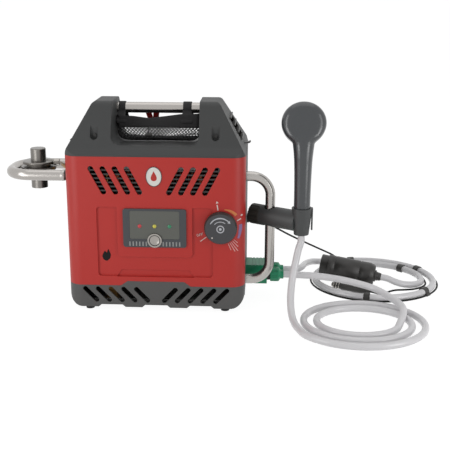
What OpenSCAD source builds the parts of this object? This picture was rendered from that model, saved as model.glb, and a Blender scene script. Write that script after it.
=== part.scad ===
// Portable gas water heater with a hand shower, a submersible pump and their hoses.
// Millimetres. +X to the right, -Y towards the user, +Z up; the origin is the centre of the
// case's footprint on the floor.

/* [Case] */
// Width of the case
case_w = 350; // [340:1:370]
// Depth of the case
case_d = 226; // [216:1:240]
// Radius of the case's upright corners
corner_r = 28; // [20:1:34]
// Wall of the moulded shells
wall = 3; // [2.5:0.1:3.6]
// Height of the rubber feet
foot_h = 10; // [7:0.5:11]
// Radius of a rubber foot
foot_r = 8.5; // [7:0.5:10]
// Height of the grey base at the front
base_h = 45.5; // [44:0.5:52]
// Height of the grey base at the sides and back
base_side_h = 19; // [17:0.5:23]
// Height of the shell between base and cap
shell_h = 258; // [250:1:270]
// Height of the grey cap
cap_h = 98.5; // [95:0.5:108]
// How far the front panel wraps round the sides
wrap_d = 31; // [30:1:40]
// Height of the bottom rim below the base's floor
rim_drop = 5; // [3:0.5:6]

/* [Vents] */
// Slanted slots in each group at the top
vent_n = 4; // [3:1:4]
// Width of a top slot
vent_w = 10.5; // [8:0.5:12]
// Slanted slots in each group of the base
base_vent_n = 5; // [3:1:5]
// Width of a base slot
base_vent_w = 9.5; // [7:0.5:11]
// Height of a slat behind the top slots
slat_h = 3; // [2:0.5:4]

/* [Front panel] */
// Depth of the panel's recess
recess_h = 3.5; // [2:0.5:4]
// Width of the recess
recess_w = 226; // [216:1:232]
// Width of the raised field in it
field_w = 146; // [140:1:160]
// Width of the display bezel
bezel_w = 123; // [118:1:128]
// Height of the display bezel
bezel_h = 77; // [74:1:80]
// Width of the label plate
label_w = 97; // [90:1:104]
// Height of the label plate
label_h = 56.4; // [52:0.2:60]
// Distance between the status lights
led_pitch = 29; // [22:1:34]
// Radius of a status light
led_r = 2.2; // [1.6:0.1:3]
// Radius of the chrome ring of the power button
ring_r = 14; // [12.5:0.5:15]
// Radius of the power button
button_r = 11; // [9:0.5:11.5]
// Radius of the temperature knob
knob_r = 32; // [28:0.5:34]
// Height of the temperature knob over the panel
knob_h = 15; // [13:0.5:24]
// Radius of the knob's spindle
spindle_r = 4; // [3:0.5:5]

/* [Carry bar and pouch] */
// Radius of the carry bar
bar_r = 10.75; // [9.5:0.25:12]
// Half the width of the gap between the cap's posts
valley_half_w = 84.5; // [80:0.5:88]
// Depth of the pouch from front to back
pouch_d = 54; // [48:1:60]
// Height of the pouch
pouch_h = 44; // [40:1:46]
// Thickness of the pouch's cloth
cloth_t = 2; // [1.5:0.1:2.5]

/* [Rack tube and holder] */
// Radius of the bent tube on the right side
rack_r = 9.75; // [9:0.25:10.5]
// Distance of its upright run from the case
rack_out = 48; // [44:0.5:54]
// Bend radius of its centre line
rack_bend = 38; // [30:1:40]
// Radius of the holder's barrel
barrel_r = 20.5; // [17:0.5:21]
// Wall of the sliding bush
bush_wall = 2.7; // [2:0.1:3.2]
// Distance from the tube to the handset's axis
reach = 72; // [68:1:94]
// Angle of the holder about the tube
holder_angle = -32; // [-50:1:-28]
// Radius of the handset's handle
handle_r = 16; // [14.5:0.5:17.5]
// Radius of the handset's head
head_r = 42.5; // [38:0.5:46]

/* [Gas arm] */
// Radius of the arm's tube
arm_r = 11; // [10:0.25:11.5]
// Distance from the arm's hinge to its outer run
arm_reach = 112.5; // [108:0.5:120]
// Half the distance between its two runs
arm_half = 56; // [54:1:60]
// Radius of a hinge pin
pin_r = 4; // [3:0.5:5]
// Radius of the regulator's lower flange
flange_r = 35; // [32:0.5:38]
// Radius of the cylinder inlet's thread
inlet_thread_r = 12.5; // [12:0.1:13]
// Outer radius of the cylinder inlet
inlet_r = 16.5; // [15:0.5:18]
// Radius of the gas pipe
gas_r = 4; // [3:0.5:5]

/* [Hoses] */
// Outer radius of the hoses
hose_r = 7; // [6:0.25:7.5]
// Radius of the power lead
lead_r = 1.75; // [1.5:0.05:2]
// Growth of the shower hose's spiral in a turn
shower_pitch = 25; // [20:0.5:28]
// Radius of the pump
pump_body_r = 26; // [23:0.5:26]

/* [Hidden] */
$fn = 48;

// running and seating clearances
run_gap = 0.05;      // shafts in their holes
side_gap = 0.3;      // faces of neighbouring bodies
cut = 1;             // overshoot of a cutting tool

// levels and sides of the case
side_x = case_w / 2;
front_y = -case_d / 2;
back_y = case_d / 2;
base_top = foot_h + base_h;
side_seam = foot_h + base_side_h;
shell_top = base_top + shell_h;
cap_top = shell_top + cap_h;
seam_y = front_y + wrap_d;
floor_under = foot_h + rim_drop;
floor_top = floor_under + wall;

// ---------------------------------------------------------------- outlines and solids

function unit(v) = v / norm(v);

// the arc that rounds corner b between a and c
function corner_arc(a, b, c, r, n) =
    let (u = unit(a - b), v = unit(c - b), half = acos(u * v) / 2,
         m = b + unit(u + v) * r / sin(half),
         s = b + u * r / tan(half) - m, e = b + v * r / tan(half) - m,
         a0 = atan2(s[1], s[0]), turn = ((atan2(e[1], e[0]) - a0 + 540) % 360) - 180)
    [for (i = [0:n]) m + r * [cos(a0 + turn * i / n), sin(a0 + turn * i / n)]];

// a polygon with each corner rounded by its own radius
function rounded(p, r, n = 8) = [
    for (i = [0:len(p) - 1])
        each (r[i] > 0
              ? corner_arc(p[(i + len(p) - 1) % len(p)], p[i], p[(i + 1) % len(p)], r[i], n)
              : [p[i]])];

// a counter-clockwise polygon moved inwards by d
function inset(p, d) = [
    for (i = [0:len(p) - 1])
        let (e = unit(p[i] - p[(i + len(p) - 1) % len(p)]), f = unit(p[(i + 1) % len(p)] - p[i]),
             m = [-e[1], e[0]], n = [-f[1], f[0]])
        p[i] + (m + n) * d / (1 + m * n)];

module prism_x(p, x0, x1) translate([x0, 0, 0]) rotate([90, 0, 90]) linear_extrude(x1 - x0) polygon(p);
module prism_y(p, y0, y1) translate([0, y1, 0]) rotate([90, 0, 0]) linear_extrude(y1 - y0) polygon(p);
module box(lo, hi) translate(lo) cube(hi - lo);
module rod_x(r, x0, x1, y, z) translate([x0, y, z]) rotate([0, 90, 0]) cylinder(r = r, h = x1 - x0);
module rod_y(r, y0, y1, x, z) translate([x, y0, z]) rotate([-90, 0, 0]) cylinder(r = r, h = y1 - y0);
module both_sides() { children(); mirror([1, 0, 0]) children(); }

// stands children's +Z on the line from p towards q
module along(p, q)
    translate(p)
        rotate([0, acos((q - p)[2] / norm(q - p)), atan2((q - p)[1], (q - p)[0])]) children();

// a bent pipe of straight runs with slightly thicker ball corners
module pipe(p, r) {
    for (i = [0:len(p) - 2]) along(p[i], p[i + 1]) cylinder(r = r, h = norm(p[i + 1] - p[i]));
    for (i = [1:len(p) - 2]) translate(p[i]) sphere(r = r + 0.5);
}

module rounded_rect(w, d, r) {
    square([w - 2 * r, d], center = true);
    square([w, d - 2 * r], center = true);
    for (x = [-1, 1], y = [-1, 1]) translate([x * (w / 2 - r), y * (d / 2 - r)]) circle(r = r);
}

// a plate with rounded corners that stands upright, from (x0, z0) to (x1, z1)
module plate_y(x0, x1, z0, z1, y0, y1, r)
    translate([(x0 + x1) / 2, y1, (z0 + z1) / 2]) rotate([90, 0, 0])
        linear_extrude(y1 - y0) rounded_rect(x1 - x0, z1 - z0, r);

module case_block(z0, z1, shrink = 0)
    translate([0, 0, z0]) linear_extrude(z1 - z0)
        rounded_rect(case_w - 2 * shrink, case_d - 2 * shrink, corner_r - shrink);

module case_ring(z0, z1)
    difference() {
        case_block(z0, z1);
        case_block(z0 - cut, z1 + cut, wall);
    }

// a slanted slot with round ends, cut through y0..y1
module slot_y(a, b, w, y0, y1) {
    n = [-(b - a)[1], (b - a)[0]] / norm(b - a) * w / 2;
    prism_y([a + n, a - n, b - n, b + n], y0, y1);
    rod_y(w / 2, y0, y1, a[0], a[1]);
    rod_y(w / 2, y0, y1, b[0], b[1]);
}

// ---------------------------------------------------------------- base

tab_h = 9.1;                     // rise of the base into the red panel
tab_half = [69, 56];             // its half widths at the foot and at the top
base_round = 28;                 // radius of the base's lower corners in front view
foot_x = side_x - 39;
foot_y = back_y - 22;
foot_at = concat([for (x = [-foot_x, foot_x], y = [-foot_y, foot_y]) [x, y]], [[0, 0]]);
base_screw = [side_x - 55, back_y - 28];
vent_run = [22, 23];             // width and height that a base slot covers
base_vent_x = 38.6;
base_vent_pitch = 25.4;
base_vent_low = base_top - 30.9;

function base_outline(shrink, top) = rounded(
    [[-side_x + shrink, top], [-side_x + shrink, foot_h + shrink],
     [side_x - shrink, foot_h + shrink], [side_x - shrink, top]],
    [0, base_round - shrink, base_round - shrink, 0], 12);

tab_outline = [[-tab_half[0], base_top], [tab_half[0], base_top],
               [tab_half[1], base_top + tab_h], [-tab_half[1], base_top + tab_h]];

// the three shallow notches of the front rim, as [middle, half width at the top, at the foot]
rim_notches = [[-88, 21, 28], [0, 22, 29], [88, 21, 28]];

module base_tray() color("dimgray") difference() {
    union() {
        intersection() {
            prism_y(base_outline(0, base_top), front_y, back_y);
            case_block(foot_h, base_top);
            union() {
                box([-case_w, front_y - cut, 0], [case_w, back_y + cut, side_seam]);
                box([-case_w, front_y - cut, 0], [case_w, seam_y, base_top]);
            }
        }
        prism_y(tab_outline, front_y, front_y + wall);
    }
    intersection() {
        prism_y(base_outline(wall, base_top + cut), front_y, back_y);
        case_block(floor_top, base_top + cut, wall);
    }
    difference() {
        case_block(foot_h - cut, floor_under, 2 * wall);
        for (p = foot_at) translate([p[0], p[1], 0]) cylinder(r = foot_r + 2, h = floor_under);
        both_sides() box([side_x - base_round, -case_d, 0], [case_w, case_d, floor_under]);
    }
    for (n = rim_notches)
        prism_y([[n[0] - n[2], foot_h - cut], [n[0] + n[2], foot_h - cut], [n[0] + n[1], floor_under],
                 [n[0] - n[1], floor_under]], front_y - cut, front_y + 2 * wall + cut);
    both_sides() for (i = [0:base_vent_n - 1])
        slot_y([base_vent_x + i * base_vent_pitch - vent_run[0], base_vent_low],
               [base_vent_x + i * base_vent_pitch, base_vent_low + vent_run[1]],
               base_vent_w, front_y - cut, front_y + wall + cut);
    for (x = [-base_screw[0], base_screw[0]], y = [-base_screw[1], base_screw[1]])
        translate([x, y, floor_under - cut]) cylinder(r = 2, h = wall + 2 * cut);
}

module feet() color("black")
    for (p = foot_at) translate([p[0], p[1], 0]) cylinder(r = foot_r, h = foot_h);

module case_screws() color("silver") {
    for (x = [-base_screw[0], base_screw[0]], y = [-base_screw[1], base_screw[1]])
        translate([x, y, floor_under - 2]) {
            cylinder(r = 4, h = 2);
            cylinder(r = 2, h = 2 + wall);
        }
    both_sides() {
        rod_y(3.6, cap_screw_y - 2, cap_screw_y, cap_screw_x, cap_screw_z);
        rod_y(1.8, cap_screw_y - 2, cap_screw_y + wall, cap_screw_x, cap_screw_z);
    }
}

// ---------------------------------------------------------------- front panel and shell

back_h = 4;                          // wall of the backing behind the recess
recess_z = [base_top + 19.5, base_top + 159.5];
field_z = [base_top + 59.5, base_top + 169.5];
backing_y = front_y + recess_h + back_h;
bezel_z = base_top + 80.5;
window_lip = 4;                      // how far the bezel covers the panel's opening
label_z = bezel_z + 16.6;
led_z = bezel_z + 42.5;
button_z = bezel_z + 14.3;
knob_x = 128;
knob_z = base_top + 122.5;
flame_at = [-96.5, base_top + 61.5];
badge_z = shell_top - 37.5;
badge_half = [15.5, 19.5];
vent_top = [52, shell_top - 23.5];   // top of the first slanted slot
vent_low = [28.3, field_z[1] + 20];
vent_pitch = 23.1;
board_half_w = 64;
board_z = [bezel_z - 3, bezel_z + bezel_h + 3];
board_y = backing_y + 6;
board_hole = [board_half_w - 4, 4];  // distance of a board screw from the middle and the edge
groove_z = [base_top + 18.5, base_top + 32];

module front_panel() color("firebrick") difference() {
    union() {
        intersection() {
            case_ring(base_top, shell_top);
            box([-case_w, front_y - cut, 0], [case_w, seam_y, cap_top]);
        }
        plate_y(-recess_w / 2 - wall, recess_w / 2 + wall, recess_z[0] - wall, field_z[1] + wall,
                front_y + wall - 0.5, backing_y, 4);
        for (x = [-board_hole[0], board_hole[0]], z = [board_z[0] + board_hole[1],
            board_z[1] - board_hole[1]])
            rod_y(3, backing_y - 1, board_y, x, z);
    }
    prism_y(tab_outline, front_y - cut, front_y + wall);
    difference() {
        plate_y(-recess_w / 2, recess_w / 2, recess_z[0], recess_z[1], front_y - cut, front_y + recess_h, 6);
        plate_y(-field_w / 2, field_w / 2, field_z[0], field_z[1], front_y - 2 * cut, backing_y, 8);
    }
    prism_y([[-76, groove_z[0]], [76, groove_z[0]], [67, groove_z[1]], [-67, groove_z[1]]],
            front_y - cut, front_y + recess_h + 2);
    plate_y(-bezel_w / 2 + window_lip, bezel_w / 2 - window_lip, bezel_z + window_lip,
            bezel_z + bezel_h - window_lip, front_y - cut, backing_y + cut, 3);
    rod_y(ring_r + 0.2, front_y - cut, backing_y + cut, 0, button_z);
    rod_y(spindle_r + 2, front_y - cut, backing_y + cut, knob_x, knob_z);
    both_sides() for (i = [0:vent_n - 1])
        slot_y([vent_low[0] + i * vent_pitch, vent_low[1]], [vent_top[0] + i * vent_pitch, vent_top[1]],
               vent_w, front_y - cut, front_y + wall + cut);
    prism_y(flame_outline, front_y - cut, front_y + recess_h + 1);
    badge_disc(0, front_y - cut, front_y + 1.5);
}

// a teardrop flame
flame_outline = rounded([for (p = [[0, -13], [7, -7], [8.5, 1], [4, 13], [1, 4], [-3, 9], [-8.5, -2],
    [-6, -9]])
                         flame_at + p], [5, 4, 5, 0.8, 1, 1, 4, 4], 5);

module flame_window() color("black")
    prism_y(inset(flame_outline, 0.1), front_y + recess_h - 0.5, front_y + recess_h + 1);

module badge_disc(shrink, y0, y1)
    prism_y([for (a = [0:10:350]) [(badge_half[0] - shrink) * cos(a),
                                   badge_z + (badge_half[1] - shrink) * sin(a)]], y0, y1);

module badge_plate() color("white") badge_disc(0.2, front_y - 0.6, front_y + 1.5);

slat_gap = 5;
guard_x = [22, 126];
guard_z = [field_z[1] + 12.5, shell_top - 15];

module vent_guards() color("gray") both_sides() difference() {
    box([guard_x[0], front_y + wall, guard_z[0]], [guard_x[1], front_y + wall + 1.5, guard_z[1]]);
    for (z = [guard_z[0] + slat_h:slat_h + slat_gap:guard_z[1] - slat_gap])
        box([guard_x[0] + 3, front_y, z], [guard_x[1] - 3, front_y + 2 * wall, z + slat_gap]);
}

socket_at = [30, 158];               // y and z of the power lead's socket
socket_r = 9;
lead_exit = 15;                      // how far the strain relief stands out

hinge_z = shell_top - 49;             // height of the gas arm's hinge
pocket_y = [-24, 18];                // hollow in the left side for the folded regulator
pocket_z = [hinge_z - 95.5, hinge_z - 39.5];
pocket_x = 37;

module rear_shell() color("dimgray") difference() {
    union() {
        intersection() {
            case_ring(side_seam, shell_top);
            box([-case_w, seam_y, 0], [case_w, back_y + cut, cap_top]);
        }
        box([-side_x, pocket_y[0] - wall, pocket_z[0] - wall],
            [-side_x + pocket_x + wall, pocket_y[1] + wall, pocket_z[1] + wall]);
        for (z = rack_z) rod_x(rack_r + 3.5, side_x - wall - rack_seat, side_x - wall + 0.5, rack_y, z);
    }
    box([-side_x - cut, pocket_y[0], pocket_z[0]], [-side_x + pocket_x, pocket_y[1], pocket_z[1]]);
    for (z = rack_z) rod_x(rack_r, side_x - wall - rack_seat - cut, side_x + cut, rack_y, z);
    box([side_x - wall - cut, port_y - port_half_y, port_z - port_half_z],
        [side_x + cut, port_y + port_half_y, port_z + port_half_z]);
    rod_x(socket_r - 2, side_x - wall - cut, side_x + cut, socket_at[0], socket_at[1]);
    rod_x(gas_r, -side_x - cut, -side_x + wall + cut, gas_y, hinge_z);
}

// ---------------------------------------------------------------- cap, bar and pouch

shoulder_z = shell_top + 2.5;
shoulder_r = 44;
cap_root = shell_top - shoulder_r;    // where the cap's outlines start, below its own foot
cap_top_half = side_x - 53;
valley_z = shell_top + 19.1;
valley_tilt = 4.8;
valley_round = 18;
cap_lean = [-99, -62, 20, 94];       // y of the front and back faces at the shoulder and at the top
cap_screw_x = 116.6;
cap_screw_z = valley_z + 17;
cap_screw_y = -82;
bar_z = cap_top - 20;
bar_end = valley_half_w + 20.5;
slope_angle = atan2(side_x - cap_top_half, cap_top - shoulder_z);
louvre_z = shell_top + 42;
louvre_x = side_x - (louvre_z - shoulder_z) * tan(slope_angle);
louvre_half = [42, 27];

cap_front = rounded([[-side_x, cap_root], [side_x, cap_root],
                     [side_x, shoulder_z], [cap_top_half, cap_top], [-cap_top_half, cap_top],
                     [-side_x, shoulder_z]], [0, 0, shoulder_r, 12, 12, shoulder_r]);
cap_side = rounded([[front_y, cap_root], [back_y, cap_root], [back_y, shell_top + 3],
                    [cap_lean[3], shell_top + 10], [cap_lean[2], cap_top], [cap_lean[1], cap_top],
                    [cap_lean[0], shell_top + 18], [front_y, shell_top + 3]], [0, 0, 6, 25, 16, 16, 25, 6]);

module cap_form(shrink)
    intersection() {
        prism_y(shrink > 0 ? inset(cap_front, shrink) : cap_front, front_y, back_y);
        prism_x(shrink > 0 ? inset(cap_side, shrink) : cap_side, -side_x, side_x);
        case_block(shell_top - (shrink > 0 ? cut : 0), cap_top, shrink);
    }

function valley_outline(grow) = rounded(
    [[-valley_half_w - grow, valley_z - grow], [valley_half_w + grow, valley_z - grow],
     [valley_half_w + grow, cap_top + 40], [-valley_half_w - grow, cap_top + 40]],
    [valley_round, valley_round, 0, 0]);

// the gap between the posts, whose floor falls towards the back
module valley(grow)
    translate([0, cap_lean[0], valley_z]) rotate([-valley_tilt, 0, 0])
        translate([0, 0, -valley_z]) prism_y(valley_outline(grow), -2 * wall - 40, 2 * case_d);

module on_slope(x, z) translate([x, 0, z]) rotate([0, -slope_angle, 0]) children();

module top_cap() color("dimgray") difference() {
    union() {
        difference() {
            cap_form(0);
            difference() {
                cap_form(wall);
                valley(wall);
            }
        }
        both_sides() {
            rod_x(bar_r + 3.5, valley_half_w + wall - 0.5, bar_end, 0, bar_z);
            intersection() {
                cap_form(0);
                box([cap_screw_x - 11, -case_d, cap_screw_z - 12], [cap_screw_x + 11, cap_screw_y + wall,
                                                                  cap_screw_z + 24]);
            }
        }
    }
    valley(0);
    rod_x(bar_r, -bar_end, bar_end, 0, bar_z);
    both_sides() {
        slot_y([cap_screw_x, cap_screw_z], [cap_screw_x, cap_screw_z + 40], 15, -case_d, cap_screw_y);
        rod_y(1.8, cap_screw_y - cut, cap_screw_y + wall + cut, cap_screw_x, cap_screw_z);
    }
    on_slope(louvre_x, louvre_z)
        box([-3 * wall, -louvre_half[0], -louvre_half[1]], [wall, louvre_half[0], louvre_half[1]]);
}

fin_n = 4;
fin_pitch = 15.5;
hook_z = shell_top + 10;

module cap_hook()
    prism_y([[side_x - 9, hook_z], [side_x + 4, hook_z], [side_x + 7.5, hook_z + 2.5],
        [side_x + 6.5, hook_z + 4],
             [side_x + 3, hook_z + 2], [side_x - 9, hook_z + 2]], -8, 8);

module side_louvre() color("black") {
    on_slope(louvre_x, louvre_z) {
        difference() {
            box([-wall, -louvre_half[0], -louvre_half[1]], [0, louvre_half[0], louvre_half[1]]);
            box([-2 * wall, -louvre_half[0] + 4, -louvre_half[1] + 3],
                [wall, louvre_half[0] - 4, louvre_half[1] - 3]);
        }
        for (i = [0:fin_n - 1])
            translate([0, 0, (i - (fin_n - 1) / 2) * fin_pitch])
                prism_y([[-wall, -1], [3.4, 0.2], [3.6, 2.4], [-wall, 3.2]], -louvre_half[0] + 3,
                    louvre_half[0] - 3);
    }
    difference() {
        both_sides() cap_hook();
        cap_form(0);
    }
}

module carry_bar() color("lightgray") rod_x(bar_r, -bar_end, bar_end, 0, bar_z);

pouch_z = valley_z - 4.6;
pouch_half_w = valley_half_w - 2.5;
pouch_top = pouch_z + pouch_h;
strap_at = [[-74, 9], [56, 11.4]];   // middle and half width of each black loop
tape_at = [-14, 7];

pouch_round = valley_round + 1;

// the pouch seen from the side or the front, open at the top
function pouch_outline(half, shrink, top) = rounded(
    [[-half + shrink, top], [-half + shrink, pouch_z + shrink],
     [half - shrink, pouch_z + shrink], [half - shrink, top]],
    [0, pouch_round - shrink, pouch_round - shrink, 0]);

module pouch_form(shrink, top) intersection() {
    prism_x(pouch_outline(pouch_d / 2, shrink, top), -pouch_half_w + shrink, pouch_half_w - shrink);
    prism_y(pouch_outline(pouch_half_w, shrink, top), -pouch_d / 2, pouch_d / 2);
}

module pouch() color("black") difference() {
    pouch_form(0, pouch_top);
    pouch_form(cloth_t, pouch_top + cut);
}

// one loop over the bar, down to both rims of the pouch
function loop_outline(r, half) = concat(
    [for (a = [-25:15:205]) [r * cos(a), bar_z + r * sin(a)]], [[-half, pouch_top], [half, pouch_top]]);

module pouch_straps() {
    color("black") for (s = strap_at) difference() {
        prism_x(loop_outline(bar_r + 0.2 + 1.6, pouch_d / 2 + 1), s[0] - s[1], s[0] + s[1]);
        prism_x(concat(loop_outline(bar_r + 0.2, pouch_d / 2 - 0.6)), s[0] - s[1] - cut, s[0] + s[1] + cut);
        box([-case_w, -pouch_d / 2 + 0.6, pouch_top - cut], [case_w, pouch_d / 2 - 0.6, pouch_top + 0.5]);
    }
    color("crimson")
        prism_x([[bar_r + 0.2, bar_z], [pouch_d / 2 - 1.4, pouch_top], [pouch_d / 2, pouch_top],
                 [bar_r + 1.6, bar_z]], tape_at[0] - tape_at[1], tape_at[0] + tape_at[1]);
}

// ---------------------------------------------------------------- display, button and knob

bezel_out = 3;                       // how far the bezel stands out of the panel
ring_y = front_y - bezel_out - 2.5;
label_t = 1.6;
button_back = front_y + 6;

module display_bezel() color("darkslategray") difference() {
    union() {
        plate_y(-bezel_w / 2, bezel_w / 2, bezel_z, bezel_z + bezel_h, front_y - bezel_out, front_y, 5);
        plate_y(-bezel_w / 2 + window_lip + 0.2, bezel_w / 2 - window_lip - 0.2, bezel_z + window_lip + 0.2,
                bezel_z + bezel_h - window_lip - 0.2, front_y - 0.5, front_y + 3, 3);
    }
    plate_y(-label_w / 2, label_w / 2, label_z, label_z + label_h, front_y - bezel_out - cut,
            front_y - bezel_out + label_t + 0.4, 4);
    rod_y(ring_r, front_y - 2 * bezel_out, front_y + 4, 0, button_z);
    for (x = [-led_pitch, 0, led_pitch]) rod_y(led_r, front_y - 2 * bezel_out, front_y + 4, x, led_z);
}

module display_label() color("darkolivegreen") difference() {
    plate_y(-label_w / 2 + 0.1, label_w / 2 - 0.1, label_z + 0.1, label_z + label_h - 0.1,
            front_y - bezel_out + 0.4, front_y - bezel_out + 0.4 + label_t, 4);
    rod_y(ring_r + 0.4, front_y - 2 * bezel_out, front_y, 0, button_z);
    for (x = [-led_pitch, 0, led_pitch]) rod_y(led_r, front_y - 2 * bezel_out, front_y, x, led_z);
}

module status_lights() color("lime")
    for (x = [-led_pitch, 0, led_pitch]) rod_y(led_r, front_y - bezel_out - 0.4, front_y + 3, x, led_z);

module button_ring() color("silver") difference() {
    rod_y(ring_r, ring_y, front_y + 3, 0, button_z);
    rod_y(button_r + run_gap, ring_y - cut, front_y + 4, 0, button_z);
}

module power_button() color("gray") difference() {
    rod_y(button_r, ring_y + 1, button_back, 0, button_z);
    translate([0, ring_y - 24.5, button_z]) sphere(r = 27);
}

spring_turns = 5;
spring_r = 5;
spring_wire = 0.5;

// helix between the button and the board, straight for one wire at both ends
function spring_path() =
    let (y0 = button_back + 2 * spring_wire, y1 = board_y - 2 * spring_wire, n = spring_turns * 8)
    concat([[spring_r, button_back + side_gap / 6, 0]],
           [for (i = [0:n]) [spring_r * cos(360 * i / 8), y0 + (y1 - y0) * i / n,
               spring_r * sin(360 * i / 8)]],
           [[spring_r, board_y - side_gap / 6, 0]]);

module button_spring() color("silver") translate([0, 0, button_z]) tube(spring_path(), spring_wire, 6);

knob_back = front_y - side_gap;
knob_front = front_y - knob_h;
knob_rim = knob_h * 0.6;               // height of its gripped rim

module temp_knob() color("dimgray") translate([knob_x, knob_back, knob_z]) rotate([90, 0, 0]) difference() {
    union() {
        cylinder(r = knob_r, h = knob_rim);
        translate([0, 0, knob_rim]) cylinder(r1 = knob_r, r2 = knob_r - 3,
            h = knob_back - knob_front - knob_rim);
    }
    translate([0, 0, -cut]) cylinder(r = spindle_r, h = knob_back - knob_front - 5 + cut);
}

module knob_spindle() color("silver")
    rod_y(spindle_r, knob_front + 5, valve_y[0] + 15, knob_x, knob_z);

module control_board() color("darkgreen")
    box([-board_half_w, board_y, board_z[0]], [board_half_w, board_y + 1.6, board_z[1]]);

// ---------------------------------------------------------------- gas and water inside

sheet = 2;
chassis_half = side_x - 25;
chassis_back = [110, shell_top - 13.5];   // half width and top of its upright sheet
chassis_y = [front_y + 21, back_y - 15];
chamber_half = 70;
chamber_y = [-45, 65];
chamber_z = [shell_top - 183.5, shell_top - 83.5];
burner_h = 20;
fins_h = 45;
rail_y = chamber_y[0] - 13;
rail_z = chamber_z[0] - 10;
valve_half = 20;
gas_valve_x = -chamber_half - 30;
header_z = chamber_z[1] + 23;
header_x = [chamber_half + 10, chamber_half + 16];
water_y = [chamber_y[0] + 10, chamber_y[1] - 10];
pipe_r = 5;
valve_y = [-85, -45];
knob_valve_half = 20;

module chassis() color("silver") {
    box([-chassis_half, chassis_y[0], floor_top], [chassis_half, chassis_y[1], floor_top + sheet]);
    box([-chassis_back[0], chassis_y[1] - sheet, floor_top + sheet],
        [chassis_back[0], chassis_y[1], chassis_back[1]]);
}

module combustion_chamber() color("lightgray") difference() {
    union() {
        box([-chamber_half, chamber_y[0], chamber_z[0]], [chamber_half, chamber_y[1], chamber_z[1]]);
        both_sides() box([chamber_half - 1.5, chamber_y[1] - 1, chamber_z[0] + 10],
                         [chamber_half, chassis_y[1] - sheet, chamber_z[1] - 10]);
    }
    box([-chamber_half + 1.5, chamber_y[0] + 1.5, chamber_z[0] - cut],
        [chamber_half - 1.5, chamber_y[1] - 1.5, chamber_z[1] + cut]);
    rod_y(3, chamber_y[0] - cut, chamber_y[0] + 3, igniter_at[0], igniter_at[1]);
}

module burner() color("darkgray") difference() {
    box([-chamber_half, chamber_y[0], chamber_z[0] - burner_h], [chamber_half, chamber_y[1], chamber_z[0]]);
    for (i = [-4:4])
        box([i * 14 - 3, chamber_y[0] + 8, chamber_z[0] - burner_h + 5],
            [i * 14 + 3, chamber_y[1] - 8, chamber_z[0] + cut]);
}

module gas_manifold() color("goldenrod") {
    rod_x(6, gas_valve_x + valve_half, 60, rail_y, rail_z);
    for (i = [-2:2]) rod_y(2.5, rail_y, chamber_y[0], i * 28, rail_z);
}

module gas_valve() color("goldenrod") {
    box([gas_valve_x - valve_half, rail_y - valve_half, rail_z - valve_half],
        [gas_valve_x + valve_half, rail_y + valve_half, rail_z + valve_half]);
    box([gas_valve_x - 12, rail_y + valve_half - 2, floor_top + sheet],
        [gas_valve_x + 12, rail_y + valve_half, rail_z - valve_half]);
}

igniter_at = [-30, chamber_z[0] + 20];

module igniter() color("white") {
    rod_y(3, chamber_y[0] - 12, chamber_y[0] + 15, igniter_at[0], igniter_at[1]);
    rod_y(0.9, chamber_y[0] + 14, chamber_y[0] + 30, igniter_at[0], igniter_at[1]);
}

module heat_exchanger() color("peru") {
    for (i = [-9:9])
        box([i * 7.5 - 0.5, chamber_y[0], chamber_z[1]], [i * 7.5 + 0.5, chamber_y[1],
            chamber_z[1] + fins_h]);
    for (y = [water_y[0] + 10, (water_y[0] + water_y[1]) / 2, water_y[1] - 10])
        rod_x(6, -header_x[0], header_x[0], y, header_z);
    both_sides() box([header_x[0], water_y[0], header_z - 10], [header_x[1], water_y[1], header_z + 10]);
}

// a point of the hood's outlet, just inside the louvre
function outlet(dz) = [louvre_x - dz * tan(slope_angle) - (wall + side_gap) / cos(slope_angle),
    louvre_z + dz];

hood_half = chamber_half + 5;
hood_wall = 1.2;
hood_outline = [[-hood_half, chamber_z[1] + fins_h], [hood_half, chamber_z[1] + fins_h], outlet(-22),
                outlet(19), [hood_half + 20, shell_top + 20], [hood_half + 1, shell_top - 6],
                [-hood_half + 15, shell_top - 6], [-hood_half, shell_top - 18]];

// the hood seen from the side; its back leans forward under the cap's back
hood_side = [[chamber_y[0], chamber_z[1]], [chamber_y[1], chamber_z[1]], [chamber_y[1], louvre_z - 12],
             [louvre_half[0] - 2, louvre_z + 22], [chamber_y[0], louvre_z + 22]];

module flue_hood() color("lightgray") {
    inner = inset(hood_outline, hood_wall);
    inner_side = inset(hood_side, hood_wall);
    out = unit([hood_outline[3][1] - hood_outline[2][1], hood_outline[2][0] - hood_outline[3][0]]) * 3;
    difference() {
        intersection() {
            prism_y(hood_outline, chamber_y[0], chamber_y[1]);
            prism_x(hood_side, -side_x, side_x);
        }
        intersection() {
            prism_y(inner, chamber_y[0], chamber_y[1]);
            prism_x(inner_side, -side_x, side_x);
        }
        box([-hood_half + hood_wall, chamber_y[0] + hood_wall, inner[0][1] - 3],
            [hood_half - hood_wall, chamber_y[1] - hood_wall, inner[0][1] + 0.1]);
        intersection() {
            prism_y([inner[2], inner[2] + out, inner[3] + out, inner[3]], chamber_y[0], chamber_y[1]);
            prism_x(inner_side, -side_x, side_x);
        }
    }
}

module mixing_valve() color("goldenrod") difference() {
    union() {
        box([knob_x - knob_valve_half, valve_y[0], knob_z - knob_valve_half],
            [knob_x + knob_valve_half, valve_y[1], knob_z + knob_valve_half]);
        box([knob_x + knob_valve_half - 1, valve_y[0] + 15, knob_z - 4],
            [side_x - wall, valve_y[0] + 25, knob_z + 4]);
    }
    rod_y(spindle_r + run_gap, valve_y[0] - cut, valve_y[0] + 17, knob_x, knob_z);
}

port_y = 2;
port_z = 53;
port_half_y = 25;
port_half_z = 20;
port_in = 5;                         // how far the block reaches into the case
port_out = 44;                       // and out of it
hose_y = [-14, 18];                  // shower outlet and pump inlet
hose_z = port_z - 2;
nut_x = side_x + port_out + 7;
hose_x = nut_x + 27;

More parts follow.
